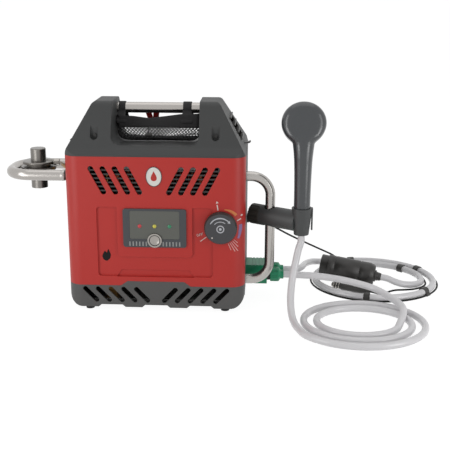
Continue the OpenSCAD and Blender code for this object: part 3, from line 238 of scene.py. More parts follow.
# colour and roughness drift, edges are soft and a little rubbed, and the surface is bumped
def newFinish(name, colour, roughness, drift=0.08, rub=0.08, driftScale=9.0, worn=None, wear=0.25,
              edge=0.0008,
              height=None, heightValues=None, relief=0.1, depth=0.0004, shader=None):
    material = bpy.data.materials.new(name)
    material.use_nodes = True
    tree = material.node_tree
    tree.nodes.clear()
    out = addNode(tree, "ShaderNodeOutputMaterial")
    surface = addNode(tree, "ShaderNodeBsdfPrincipled", shader)
    base = addNode(tree, "ShaderNodeGroup", {
        "Color": paint(*colour), "Roughness": roughness, "Drift": drift, "Rub": rub, "Scale": driftScale,
    }, node_tree=groups["handling"])
    rim = addNode(tree, "ShaderNodeGroup", {
        "Worn": paint(*(worn or colour)), "Amount": wear, "Radius": edge}, node_tree=groups["edgeWear"])
    normal = rim.outputs["Normal"]
    if height:
        bump = addNode(tree, "ShaderNodeBump", {"Strength": relief, "Distance": depth})
        texture = addNode(tree, "ShaderNodeGroup", heightValues, node_tree=groups[height])
        join(tree, (texture.outputs["Height"], bump.inputs["Height"]), (normal, bump.inputs["Normal"]))
        normal = bump.outputs["Normal"]
    join(
        tree,
        (base.outputs["Roughness"], surface.inputs["Roughness"]),
        (base.outputs["Color"], rim.inputs["Color"]),
        (rim.outputs["Color"], surface.inputs["Base Color"]), (normal, surface.inputs["Normal"]),
        (surface.outputs["BSDF"], out.inputs["Surface"]),
    )
    return material


def plasticFinish(name, colour, roughness, grain=900.0, relief=0.12, **more):
    pale = tuple(min(255, c + 26) for c in colour)
    return newFinish(name, colour, roughness, worn=pale, height="mouldGrain", heightValues={"Scale": grain},
                     relief=relief, **more)


def metalFinish(name, colour, roughness, stretch, edge):
    return newFinish(name, colour, roughness, drift=0.1, rub=0.14, wear=0.0, edge=edge, height="brushLines",
                     heightValues={"Stretch": stretch}, relief=0.05, shader={"Metallic": 1.0})


plastics = {                             # colour, roughness and what else differs
    "redEnamel": ((180, 36, 28), 0.48, dict(grain=1400, relief=0.05, drift=0.05, wear=0.35, edge=0.0012,
        shader={"Coat Weight": 0.06, "Coat Roughness": 0.3})),
    "greyCase": ((78, 78, 77), 0.52, dict(grain=1100, relief=0.16, edge=0.002, wear=0.22)),
    "knobGrey": ((56, 56, 59), 0.5, dict(grain=1300, relief=0.1, wear=0.1)),
    "capGrey": ((53, 54, 54), 0.56, dict(grain=1100, relief=0.16, edge=0.002, wear=0.22)),
    "slate": ((60, 63, 67), 0.46, dict(grain=1300, relief=0.08, edge=0.0008)),
    "holderGrey": ((64, 66, 66), 0.5, dict(grain=1000, relief=0.14, edge=0.0015)),
    "barrelGrey": ((52, 48, 44), 0.48, dict(grain=1000, relief=0.14, edge=0.0015)),
    "labelGrey": ((90, 92, 86), 0.36, dict(grain=1600, relief=0.03, drift=0.04, edge=0.0004)),
    "blackMoulded": ((46, 45, 43), 0.45, dict(grain=1000, relief=0.12, edge=0.001)),
    "pumpBlack": ((36, 34, 32), 0.42, dict(grain=700, relief=0.16, edge=0.002, drift=0.14)),
    "rubber": ((30, 30, 30), 0.75, dict(grain=1500, relief=0.25, edge=0.0006, wear=0.1)),
    "greenNut": ((12, 138, 96), 0.38, dict(grain=900, relief=0.07, edge=0.001, wear=0.4)),
    "glossGrey": ((62, 65, 68), 0.2, dict(grain=500, relief=0.012, drift=0.04, rub=0.03, wear=0.1,
        edge=0.0006, shader={"Coat Weight": 0.3, "Coat Roughness": 0.08})),
    "enamelWhite": ((228, 226, 220), 0.34, dict(grain=800, relief=0.03, drift=0.03)),
    "darkGlass": ((9, 8, 9), 0.3, dict(grain=600, relief=0.01, shader={"Specular IOR Level": 0.2})),
    "boardGreen": ((20, 84, 48), 0.4, dict(grain=500, relief=0.08)),
    "cellWrap": ((36, 44, 74), 0.35, dict(grain=300, relief=0.05)),
    "glazed": ((226, 221, 212), 0.25, dict(grain=400, relief=0.04)),
    "darkSteel": ((34, 33, 32), 0.5, dict(grain=600, relief=0.05, edge=0.0005, wear=0.1)),
    "netThread": ((26, 25, 26), 0.7, dict(relief=0.1, wear=0.0)),
    # painted shade: a near-black finish for marks that stand in for the shade in the button's groove and in the
    # pump's strainer holes
    "paintedShadeDark": ((24, 23, 22), 0.5, dict(relief=0.02)),
    "hosePvc": ((226, 225, 227), 0.3, dict(grain=260, relief=0.03, drift=0.05, wear=0.0,
        shader={"Subsurface Weight": 0.4, "Subsurface Radius": (0.004, 0.004, 0.004),
                "Coat Weight": 0.25, "Coat Roughness": 0.12})),
    "leadPvc": ((12, 11, 11), 0.5, dict(grain=500, relief=0.06, wear=0.0,
        shader={"Specular IOR Level": 0.2})),
}
metals = {                               # colour, roughness, stretch of its lines and softened edge
    "tubeSteel": ((172, 168, 164), 0.22, (40, 900, 900), 0.003),
    "railSteel": ((174, 171, 167), 0.24, (500, 500, 40), 0.003),
    "brightMetal": ((158, 154, 149), 0.25, (300, 300, 300), 0.001),
    "regulatorSteel": ((124, 121, 117), 0.3, (300, 300, 300), 0.001),
    "sheetSteel": ((158, 158, 156), 0.36, (40, 500, 500), 0.0008),
    "brass": ((176, 132, 74), 0.33, (400, 400, 400), 0.001),
    "copper": ((184, 108, 76), 0.35, (400, 60, 400), 0.0006),
}
prints = {
    "knobPrint": (196, 198, 203),
    "printWhite": (226, 214, 208),
    "printPink": (228, 172, 168),
    "printOrange": (214, 128, 70),
    "printViolet": (138, 112, 160),
    "printGrey": (150, 152, 150),
}
lights = {
    "redLight": (196, 34, 44),
    "yellowLight": (206, 196, 58),
    "greenLight": (12, 132, 88),
}
tapes = {                                # colour, roughness, drift, threads and relief
    # partly painted light: the tape's own red, raised to stand in for the light it lacks in the shade of the
    # band and the bar
    "redTapeAndLight": ((222, 50, 46), 0.7, 0.12, 1400.0, 0.3),
    "blackWebbing": ((34, 33, 34), 0.78, 0.16, 1100.0, 0.35),
}
finishes = {name: plasticFinish(name, colour, roughness, **more)
            for name, (colour, roughness, more) in plastics.items()}
for name, values in metals.items():
    finishes[name] = metalFinish(name, *values)
for name, colour in prints.items():
    finishes[name] = plasticFinish(name, colour, 0.5, relief=0.02, drift=0.03)
for name, colour in lights.items():
    finishes[name] = plasticFinish(name, colour, 0.18, relief=0.01, shader={"Coat Weight": 0.5})
for name, (colour, roughness, drift, threads, relief) in tapes.items():
    finishes[name] = newFinish(name, colour, roughness, drift=drift, height="weave",
                               heightValues={"Threads": threads}, relief=relief)
print("finishes made:", len(finishes))

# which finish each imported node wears
worn = {
    "redEnamel": ("front_panel",),
    "greyCase": ("base_tray", "temp_knob"),
    "capGrey": ("top_cap", "rear_shell"),
    "darkSteel": ("case_screws",),
    "slate": ("display_bezel", "spray_face"),
    "holderGrey": ("holder_body",),
    "barrelGrey": ("clamp_knob",),
    "labelGrey": ("display_label",),
    "blackMoulded": ("side_louvre", "power_socket", "holder_bush", "lead_plug", "hose_clips", "vent_guards"),
    "pumpBlack": ("pump_body", "pump_nozzle"),
    "rubber": ("feet", "port_seals", "pouch", "pouch_straps"),
    "greenNut": ("port_block", "hose_nuts"),
    "glossGrey": ("handset_shell",),
    "enamelWhite": ("badge_plate",),
    "darkGlass": ("flame_window",),
    "boardGreen": ("control_board",),
    "cellWrap": ("battery",),
    "glazed": ("igniter",),
    "tubeSteel": ("carry_bar", "arm_tube"),
    "railSteel": ("rack_tube",),
    "brightMetal": ("button_ring", "power_button", "button_spring", "arm_bracket"),
    "regulatorSteel": ("regulator",),
    "sheetSteel": ("chassis", "combustion_chamber", "burner", "flue_hood"),
    "brass": ("knob_spindle", "gas_manifold", "gas_valve", "gas_pipe", "mixing_valve", "gas_swivel"),
    "copper": ("heat_exchanger", "water_inlet_pipe", "water_outlet_pipe"),
    "hosePvc": ("shower_hose_lead", "shower_hose_coil", "shower_hose_riser", "pump_hose_lead",
                "pump_hose_coil"),
    "leadPvc": ("power_lead", "power_lead_coil"),
}
for finish, nodes in worn.items():
    for node in nodes:
        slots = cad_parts[node].data.materials
        if not len(slots):
            slots.append(None)
        for i in range(len(slots)):
            slots[i] = finishes[finish]
print("packed nodes finished:", sum(len(n) for n in worn.values()))


# angles that go once round, in equal steps
def circle(count):
    return np.linspace(0, 2 * math.pi, count, endpoint=False)


def unit(vectors):
    return vectors / np.linalg.norm(vectors, axis=-1, keepdims=True)


# how far along it each point of a route lies
def distanceAlong(route):
    return np.concatenate([[0], np.cumsum(np.linalg.norm(np.diff(route, axis=0), axis=1))])


# quads between the rows and columns of a grid; wrap joins the last column to the first
def gridFaces(rows, columns, wrap=False):
    i, j = np.meshgrid(np.arange(rows - 1), np.arange(columns if wrap else columns - 1), indexing="ij")
    k = (j + 1) % columns
    faces = np.stack([i * columns + j, i * columns + k, (i + 1) * columns + k, (i + 1) * columns + j], -1)
    return faces.reshape(-1, 4)


# six times the volume inside, which is negative where the faces point inwards
def signedVolume(points, faces):
    a = points[faces[:, 0]]
    return sum(np.einsum("ij,ij->", a, np.cross(points[faces[:, k]], points[faces[:, k + 1]]))
               for k in range(1, faces.shape[1] - 1))


def newPiece(name, points, faceSets, body, finish, uv=None, smooth=True):
    if sum(signedVolume(points, f) for f in faceSets) < 0:
        faceSets = [f[:, ::-1] for f in faceSets]
    mesh = bpy.data.meshes.new(name)
    mesh.from_pydata(points.tolist(), [], [face for f in faceSets for face in f.tolist()])
    mesh.polygons.foreach_set("use_smooth", np.full(len(mesh.polygons), smooth))
    if uv is not None:
        corners = np.zeros(len(mesh.loops), int)
        mesh.loops.foreach_get("vertex_index", corners)
        mesh.uv_layers.new(name="along").data.foreach_set("uv", uv[corners].ravel())
    mesh.update()
    piece = bpy.data.objects.new(name, mesh)
    bpy.context.scene.collection.objects.link(piece)
    mesh.materials.append(finishes[finish])
    if body:
        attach(piece, body)
    return piece


# a grid of points wrapped round its columns, with a pole in the middle of each end
def closedGrid(name, grid, body, finish, uv=None, smooth=True):
    rows, columns = grid.shape[:2]
    count = rows * columns
    points = np.concatenate([grid.reshape(-1, 3), [grid[0].mean(0)], [grid[-1].mean(0)]])
    j = np.arange(columns)
    k = (j + 1) % columns
    faces = [
        gridFaces(rows, columns, wrap=True),
        np.stack([np.full(columns, count), k, j], -1),
        np.stack([np.full(columns, count + 1), count - columns + j, count - columns + k], -1),
    ]
    if uv is not None:
        uv = np.concatenate([uv.reshape(-1, 2), [uv[0, 0]], [uv[-1, 0]]])
    return newPiece(name, points, faces, body, finish, uv, smooth)


# P(h, a) = place + along h + radius(h) (across cos a + over sin a)
def turned(name, profile, place, along, body, finish, sides=64):
    along = unit(np.array(along, float))
    across = unit(np.cross(along, (0.0, 0.0, 1.0) if abs(along[2]) < 0.9 else (1.0, 0.0, 0.0)))
    over = np.cross(along, across)
    radius, height = np.asarray(profile, float).T[:, :, None, None]
    a = circle(sides)[None, :, None]
    grid = np.array(place) + height * along + radius * (np.cos(a) * across + np.sin(a) * over)
    return closedGrid(name, grid, body, finish)


# a smooth curve through the points (Catmull-Rom, knots at the root of their distance), spaced evenly
def smoothRoute(points, spacing):
    p = np.asarray(points, float)
    p = np.concatenate([[2 * p[0] - p[1]], p, [2 * p[-1] - p[-2]]])
    knots = np.concatenate([[0], np.cumsum(np.sqrt(np.linalg.norm(np.diff(p, axis=0), axis=1)))])
    rows = []
    for i in range(1, len(p) - 2):
        t = np.linspace(knots[i], knots[i + 1], 24, endpoint=False)[:, None]
        k = knots[i - 1:i + 3]
        a = [((k[j + 1] - t) * p[i - 1 + j] + (t - k[j]) * p[i + j]) / (k[j + 1] - k[j]) for j in range(3)]
        b = [((k[j + 2] - t) * a[j] + (t - k[j]) * a[j + 1]) / (k[j + 2] - k[j]) for j in range(2)]
        rows.append(((k[2] - t) * b[0] + (t - k[1]) * b[1]) / (k[2] - k[1]))
    fine = np.concatenate(rows + [p[-2:-1]])
    run = distanceAlong(fine)
    at = np.linspace(0, run[-1], max(2, round(run[-1] / spacing) + 1))
    return np.stack([np.interp(at, run, fine[:, k]) for k in range(3)], -1)


endRing = 0.00002                        # an extra ring so near each end keeps the end's shading off the side


# P(s, a) = route(s) + radius(s) (across cos a + over sin a), with the directions carried along without twist
def tubeAlong(name, route, radius, body, finish, sides=16):
    tangent = unit(np.gradient(route, axis=0))
    across = np.zeros_like(route)
    carried = np.array([0.0, 0.0, 1.0]) if abs(tangent[0, 2]) < 0.9 else np.array([1.0, 0.0, 0.0])
    for i, t in enumerate(tangent):
        carried = across[i] = unit(carried - t * (t @ carried))
    over = np.cross(tangent, across)
    a = circle(sides)
    radius = np.broadcast_to(np.asarray(radius, float), (len(route),))[:, None, None]
    ring = np.cos(a)[:, None] * across[:, None] + np.sin(a)[:, None] * over[:, None]
    run = distanceAlong(route)
    uv = np.stack(np.broadcast_arrays(run[:, None], a[None] * radius[:, :, 0]), -1)
    grid = route[:, None] + radius * ring
    ends = grid[:1] + endRing * tangent[0], grid[-1:] - endRing * tangent[-1]
    grid = np.concatenate([grid[:1], ends[0], grid[1:-1], ends[1], grid[-1:]])
    uv = np.concatenate([uv[:1], uv[:1], uv[1:-1], uv[-1:], uv[-1:]])
    return closedGrid(name, grid, body, finish, uv)


def mm(points):
    return np.asarray(points, float) / 1000


hoses = {
    "radius": 0.007,
    "leadRadius": 0.0020,
    "spacing": 0.004,                    # between the rings of a hose
    "step": 7.5,                         # degrees between the points of a coil
    "height": 7.0,                       # of a coil's middle line; millimetres from here to insideTail
    "showerMiddle": (399, -162),
    "showerTurns": (50, 890),            # degrees
    "showerInner": 55,
    "showerPitch": 25,
    "showerWider": 14,                   # how much longer it is along x
    "pumpMiddle": (455, 100),
    "pumpTurns": (0, 465),
    "pumpOuter": 134,
    "pumpPitch": 22,
    "pumpOff": 10,                       # how far it is out of round
    "leadAside": 9.3,                    # the lead lies that far outside the pump hose
    "leadHeight": 2.15,
    "tail": (284.06, -88.15, 158),       # foot of the hand shower
    "insideTail": 62,
    "slideEnd": 0.069,                   # metres; the riser is cut into a low and a high piece at this height
    "turnEnd": 0.150,
}


# the shower hose's oval spiral: radius(t) = inner + pitch t
def showerCoil(h):
    t = np.radians(np.arange(h["showerTurns"][0], h["showerTurns"][1] + 1, h["step"]))
    a = math.radians(32) - t
    r = h["showerInner"] + h["showerPitch"] * t / (2 * math.pi)
    x, y = h["showerMiddle"]
    return np.stack([x + (r + h["showerWider"]) * np.cos(a), y + r * np.sin(a),
                     np.full_like(a, h["height"])], -1)


# the pump hose's loose turn, radius(t) = outer - pitch t + off cos t; the lead's lies further out
def pumpCoil(h, height, aside=0.0):
    t = np.arange(h["pumpTurns"][0], h["pumpTurns"][1] + 1, h["step"])
    a = np.radians(115 - t)
    r = h["pumpOuter"] - h["pumpPitch"] * t / 360 + h["pumpOff"] * np.cos(np.radians(t + 110))
    x, y = h["pumpMiddle"]
    return np.stack([x + (1.05 * r + aside) * np.cos(a), y + (0.97 * r + aside) * np.sin(a),
                     np.full_like(a, height)], -1)


# adds the direction from its first end to its second, and how far apart they are
def withWay(piece):
    run = piece["ends"][1] - piece["ends"][0]
    return {**piece, "way": unit(run), "length": float(np.linalg.norm(run))}


pump = withWay({
    "ends": mm([(336, 82, 41), (450, 58, 26.5)]),
    "nozzle": 0.014,
    "inlets": 8,
    "inletsOut": 0.016,                  # from its middle line to a strainer hole
})
plug = withWay({
    "ends": mm([(360, 50, 8.3), (436, 8, 8.3)]),
    "rings": 3,
    "ringStep": 0.006,
})

showerLead = [(253, -14, 51), (262, -14, 51), (290, -16, 50.5), (325, -20, 50), (363, -26, 47),
              (401, -29, 40),
              (431, -40, 35), (452, -58, 31), (468, -80, 27), (479, -100, 25), (484, -122, 23.5),
              (481, -147, 18.5), (473, -168, 11)]
riser = [(290, -227, 7), (281, -208, 8), (274, -190, 10), (269, -172, 15), (266, -154, 25), (265, -138, 39),
         (266, -123, 57), (269, -109, 79), (274, -98, 104), (280, -90, 131)]
pumpLead = [(253, 18, 51), (264, 18, 51), (282, 30, 48), (294, 60, 43), (300, 95, 36), (308, 130, 29),
            (322, 165, 21), (344, 192, 13), (370, 208, 8)]
toNozzle = [(554, 81, 7), (543, 64.5, 7.5), (527, 54, 9), (508, 50, 12), (492, 50, 17)]
powerLead = [(190, 30, 158), (195, 30, 158), (212, 42, 148), (237, 66, 128), (268, 97, 103), (300, 129, 79),
             (330, 159, 57), (353, 183, 40), (368, 201, 28), (378, 214, 18), (385.5, 221.5, 8.5)]
toPlug = [(563.5, 78, 2.2), (550.5, 57.5, 2.2), (531.5, 45, 2.2), (511, 40, 2.2), (494, 37, 2.2),
          (480, 28, 2.2), (469, 15, 2.6), (458, 5, 4.5)]


def buildHoses(h):
    coil = showerCoil(h)
    tail = np.array(h["tail"], float)
    rise = [tail + (0, 0, z) for z in (-14, 8, 26, 44, h["insideTail"])]
    whole = smoothRoute(mm(np.concatenate([showerLead, coil, riser, rise])), h["spacing"])
    floor = int(np.argmin(np.linalg.norm(whole - mm(coil[-1]), axis=1)))     # where the coil ends
    bend = floor + int(np.argmax(whole[floor:, 2] > h["slideEnd"]))
    parts = {
        "showerHose": (whole[:floor + 1], "heater", "coiled", ("shower_hose_lead", "shower_hose_coil")),
        "showerHoseRiserLow": (whole[floor:bend + 1], ("heater", "holder_bush"), "hanging",
                               ("shower_hose_riser",)),
        "showerHoseRiserHigh": (whole[bend:], ("holder_bush", "holder"), "hanging", ("shower_hose_riser",)),
    }
    for name, (route, body, lay, nodes) in parts.items():
        rides = body if isinstance(body, str) else None
        hose = tubeAlong(name, route, h["radius"], rides, "hosePvc", sides=24)
        if not rides:
            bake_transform(hose)
        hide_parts(*nodes)


buildHoses(hoses)


# from the port through the loose turn into the pump's nozzle
def buildPumpHose(p, h):
    way = p["way"]
    tip = p["ends"][1] + way * p["nozzle"]
    route = smoothRoute(np.concatenate([
        mm(pumpLead), mm(pumpCoil(h, h["height"])), mm(toNozzle), [tip + way * 0.014, tip]]), h["spacing"])
    hose = tubeAlong("pumpHose", route, h["radius"], "heater", "hosePvc", sides=24)
    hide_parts("pump_hose_lead", "pump_hose_coil")


buildPumpHose(pump, hoses)


def buildPowerLead(p, h):
    tip, way = p["ends"][1], p["way"]
    route = smoothRoute(np.concatenate([
        mm(powerLead), mm(pumpCoil(h, h["leadHeight"], h["leadAside"])), mm(toPlug),
        [tip + way * 0.007, tip]]),
        h["spacing"])
    lead = tubeAlong("powerLead", route, h["leadRadius"], "heater", "leadPvc")
    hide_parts("power_lead", "power_lead_coil")


buildPowerLead(plug, hoses)
print("hoses and lead laid")


# a grid of points that closes on itself both ways
def loopGrid(name, grid, body, finish, uv=None, smooth=True):
    rows, columns = grid.shape[:2]
    i, j = np.meshgrid(np.arange(rows), np.arange(columns), indexing="ij")
    up, on = (i + 1) % rows, (j + 1) % columns
    faces = np.stack([i * columns + j, i * columns + on, up * columns + on, up * columns + j],
                     -1).reshape(-1, 4)
    if uv is not None:
        uv = uv.reshape(-1, 2)
    return newPiece(name, grid.reshape(-1, 3), [faces], body, finish, uv, smooth)


def smoothStep(x, start, end):
    t = np.clip((np.asarray(x, float) - start) / (end - start), 0, 1)
    return t * t * (3 - 2 * t)


# size(c) = |c| ** (2 / squareness) with the sign of c: an ellipse at 2, squarer above it
def squared(c, squareness):
    return np.sign(c) * np.abs(c) ** (2 / squareness)


handset = {
    "foot": mm((284.06, -88.15, 158)),
    "outline": mm([(158, 9.1), (160, 11.2), (186, 14.2), (213, 16), (238, 16), (262, 16.3), (280, 16.7),
                   (305, 17.5), (325, 19.2), (340, 21.4), (352, 23.6), (364, 25),
                   (420, 25)]),              # height and radius
    "neck": 0.325,                       # where it starts to lean
    "tilt": math.radians(16),
    "headRadius": 0.0430,
    "headRise": 0.0405,                  # half its length along the spine
    "faceOut": 0.01125,                  # the spray face's middle in front of the head's middle
    "depth": {"back": 0.0207, "front": 0.0173},     # of the head, from the spine
    "puck": 2.8,                         # how square the back of the head is
    "sides": 96,
    "rim": (0.0395, 0.0100),             # radius, and how far in front of the head's middle
    "nozzles": (0.0375 / 3.9, 0.0122),   # step between their rings, and how far in front
}


# a handle that leans into a domed head: P(s, a) = spine(s) + width(s) cos a across + depth(s, a) sin a square
def buildHandset(h):
    lean = np.array((0.0, math.sin(h["tilt"]), math.cos(h["tilt"])))
    out = np.array((0.0, math.cos(h["tilt"]), -math.sin(h["tilt"])))
    faceLow, faceHigh = (np.array(p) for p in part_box("spray_face"))
    head = (faceLow + faceHigh) / 2 - h["faceOut"] * out
    bend = np.array((h["foot"][0], h["foot"][1], h["neck"]))
    toNeck = h["neck"] - h["foot"][2]
    toHead = float((head - bend) @ lean)
    r, rise = h["headRadius"], h["headRise"]
    s = np.concatenate([
        np.linspace(0, 0.004, 4), np.linspace(0.008, toNeck + toHead - rise, 56),
        toNeck + toHead + rise * np.sin(np.linspace(-math.pi / 2, math.pi / 2, 64))[1:-1]])
    s[-1] = min(s[-1], toNeck + toHead + rise * 0.9995)
    angle = h["tilt"] * smoothStep(s, toNeck - 0.022, toNeck + 0.022)
    step = np.diff(s, prepend=0)
    turn = (angle + np.concatenate([[0], angle[:-1]])) / 2
    spine = np.stack([np.full_like(s, h["foot"][0]), h["foot"][1] + np.cumsum(np.sin(turn) * step),
                      h["foot"][2] + np.cumsum(np.cos(turn) * step)], -1)
    spine[:, 1] += smoothStep(s, toNeck, toNeck + toHead) * (
        (head - 0.0063 * out + (s[-1] - toNeck - toHead) * lean)[1] - spine[-1, 1])
    v = (s - toNeck - toHead) / rise        # from -1 to 1 over the head
    disc = np.sqrt(np.clip(1 - v * v, 0, 1))
    handle = np.interp(s + h["foot"][2], h["outline"][:, 0], h["outline"][:, 1])
    handle = np.convolve(np.pad(handle, 2, mode="edge"), np.ones(5) / 5, mode="valid")
    handle[:3] = h["outline"][0, 1] + (handle[3] - h["outline"][0, 1]) * np.array([0, 0.6, 0.9])
    inside = 1 - smoothStep(v, -0.75, 0.25)
    join = 5.0
    width = ((handle * inside) ** join + (r * disc) ** join) ** (1 / join)
    thin = np.minimum(handle, 0.0192) * inside
    puck = np.clip(1 - np.abs(v) ** h["puck"], 0, 1) ** (1 / h["puck"]) * (np.abs(v) < 1)
    back = (thin ** join + (h["depth"]["back"] * puck) ** join) ** (1 / join)
    flat = h["depth"]["front"] * np.clip(1 - np.abs(v) ** 14, 0, 1) ** 0.25 * (np.abs(v) < 1)
    front = np.maximum(((thin * (1 - smoothStep(v, -1.1, -0.7))) ** join + flat ** join) ** (1 / join),
                       0.0004)
    a = circle(h["sides"])
    headShare = smoothStep(v, -1.05, -0.6)[:, None]
    squareness = np.where(np.sin(a) > 0, 2 + 4 * headShare, 2 + (h["puck"] - 2) * headShare)
    across = width[:, None] * squared(np.cos(a), squareness)
    deep = np.where(np.sin(a) > 0, front[:, None], back[:, None]) * squared(np.sin(a), squareness)
    square = np.stack([0 * angle, np.cos(angle), -np.sin(angle)], -1)
    grid = spine[:, None] + across[..., None] * (1.0, 0.0, 0.0) + deep[..., None] * square[:, None]
    shell = closedGrid("handsetShell", grid, "handset", "glossGrey")
    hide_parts("handset_shell")

    t = circle(12)
    turnAt = circle(96)[:, None, None]
    ringWide = h["rim"][0] + 0.0024 * squared(np.cos(t), 4)
    ringDeep = h["rim"][1] + 0.0032 * squared(np.sin(t), 4)
    rim = (head + ringDeep[None, :, None] * out + ringWide[None, :, None] * (
        np.cos(turnAt) * np.array((1.0, 0, 0)) + np.sin(turnAt) * lean))
    loopGrid("handsetRim", rim, "handset", "glossGrey")

    dome = np.array([(0.0012, 0), (0.0012, 0.0012), (0.0008, 0.002)])
    around = circle(8)
    nub = np.stack([dome[:, :1] * np.cos(around), dome[:, :1] * np.sin(around), dome[:, 1:] + 0 * around], -1)
    between, before = h["nozzles"]
    places = [(k * between, math.radians(a)) for k in (1, 2, 3) for a in range(0, 360, 60 // k)]
    ring, nubs = len(around), []
    for far, a in places:
        middle = head + before * out + far * (math.cos(a) * np.array((1.0, 0, 0)) + math.sin(a) * lean)
        nubs.append(middle + nub[..., :1] * (1.0, 0, 0) + nub[..., 1:2] * lean + nub[..., 2:] * out)
    points = np.array(nubs).reshape(-1, 3)
    one = gridFaces(3, ring, wrap=True)
    caps = np.array([[2 * ring + k for k in range(ring)]])
    base = np.arange(len(places))[:, None, None] * 3 * ring
    newPiece("sprayNozzles", points, [(base + one).reshape(-1, 4), (base + caps).reshape(-1, ring)],
             "handset",
             "rubber")


buildHandset(handset)
print("hand shower built")


panel = {
    "corner": 0.028,                     # radius of its upright corners
    "flat": 0.147,                       # half the width between them
    "recess": (0.113, 0.075, 0.215, 0.0035),        # half width, bottom, top and depth
    "field": (0.073, 0.115),             # half width and bottom of the part that isn't recessed
}


# where a mark at that x and height lies on the red panel: the recess, the raised field or the rounded corner
def panelFace(x, z):
    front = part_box("front_panel")[0][1]
    x, z = np.abs(np.asarray(x, float)), np.asarray(z, float)
    r = panel["corner"]
    corner = r - np.sqrt(np.clip(r ** 2 - np.clip(x - panel["flat"], 0, r) ** 2, 0, None))
    half, low, top, depth = panel["recess"]
    raised = (x < panel["field"][0]) & (z > panel["field"][1])
    return front + corner + np.where((x < half) & (z > low) & (z < top) & ~raised, depth, 0.0)


knob = {
    "middle": (0.128, 0.178),            # x and height
    "radius": 0.032,
    "ribs": 48,
    "ribDepth": 0.0006,
    "front": -0.128,
    "rim": -0.122,                       # where its ribbed side ends
    "back": -0.1133,
    "sides": 384,
    "darkRows": 11,                      # from its back round the ribs; the face is lighter
}


# P(t, a): a turned outline whose side is fluted, radius(t) - depth(t) (1 + cos(ribs a)) / 2
def buildKnob(k):
    r, front, rim, back = k["radius"], k["front"], k["rim"], k["back"]
    side = np.linspace(back - 0.001, rim + 0.0006, 5)
    radius = np.concatenate([
        [0.010, r - 0.001, r - 0.0003], np.full(5, r),
        [r - 0.0002, r - 0.0007, r - 0.0016, r - 0.0024, r - 0.0030, r - 0.0036, r - 0.0044, r - 0.008,
         0.010]])
    y = np.concatenate([
        [back, back, back - 0.0004], side,
        [rim + 0.0002, rim - 0.0003, rim - 0.0024, rim - 0.0044, front + 0.0003, front, front, front, front]])
    flute = np.concatenate([[0, 0, 0.5], np.ones(5), [0.8, 0.4, 0.1], np.zeros(6)]) * k["ribDepth"]
    a = circle(k["sides"])
    radius = radius[:, None] - flute[:, None] * (1 + np.cos(k["ribs"] * a)) / 2
    x, z = k["middle"]
    grid = np.stack([x + radius * np.sin(a), y[:, None] + 0 * a, z + radius * np.cos(a)], -1)
    piece = closedGrid("tempKnob", grid, "temp_knob", "knobGrey")
    piece.data.materials.append(finishes["blackMoulded"])
    dark = np.zeros(len(piece.data.polygons), int)
    dark[:k["darkRows"] * k["sides"]] = 1
    piece.data.polygons.foreach_set("material_index", dark)
    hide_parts("temp_knob")


buildKnob(knob)

markThick = 0.00012


# P(t, k) = left(t) + k (right(t) - left(t)), laid on a face and closed behind; both edges are given as
# x and height
def stripMark(name, left, right, face, body, finish):
    share = np.array([0, 0.2, 0.4, 0.6, 0.8, 1, 1, 0.5, 0])
    lift = np.array([1, 1, 1, 1, 1, 1, -0.3, -0.3, -0.3]) * markThick
    flat = left[:, None] + share[None, :, None] * (right - left)[:, None]
    y = face(flat[..., 0], flat[..., 1]) - lift
    return closedGrid(name, np.stack([flat[..., 0], y, flat[..., 1]], -1), body, finish, smooth=False)


# a strip bent round a point, with its inner and outer radius given along it; angles are clockwise from up
def arcMark(name, middle, radii, angles, face, body, finish, slot="white_enamel", steps=40):
    a = np.radians(np.linspace(angles[0], angles[1], steps))
    way = np.stack([np.sin(a), np.cos(a)], -1)
    inner, outer = (np.interp(np.linspace(0, 1, steps), np.linspace(0, 1, len(r)), r)[:, None] for r in radii)
    return stripMark(name, np.array(middle) + inner * way, np.array(middle) + outer * way, face, body,
                     finish)


# P(row, k): a flat outline round its middle, given as x and height, laid on a face
def flatMark(name, outline, face, body, finish, slot="white_enamel", thick=markThick):
    outline = np.asarray(outline, float)
    x, z = outline[:, 0], outline[:, 1]
    y = face(x, z)
    rows = np.stack([np.stack([x, y + 0.3 * thick, z], -1), np.stack([x, y - thick, z], -1)])
    return closedGrid(name, rows, body, finish, smooth=False)


# a straight strip that points away from the middle
def barMark(name, middle, angle, radii, widths, face, body, finish, steps=10):
    a = math.radians(angle)
    out, side = np.array((math.sin(a), math.cos(a))), np.array((math.cos(a), -math.sin(a)))
    far = np.linspace(radii[0], radii[1], steps)[:, None]
    wide = np.linspace(widths[0], widths[1], steps)[:, None] / 2
    line = np.array(middle) + out * far
    return stripMark(name, line - side * wide, line + side * wide, face, body, finish)


def discOutline(middle, radius, sides=24):
    a = circle(sides)
    return np.array(middle) + radius * np.stack([np.sin(a), np.cos(a)], -1)


def polar(middle, angle, far):
    return middle[0] + far * math.sin(math.radians(angle)), middle[1] + far * math.cos(math.radians(angle))


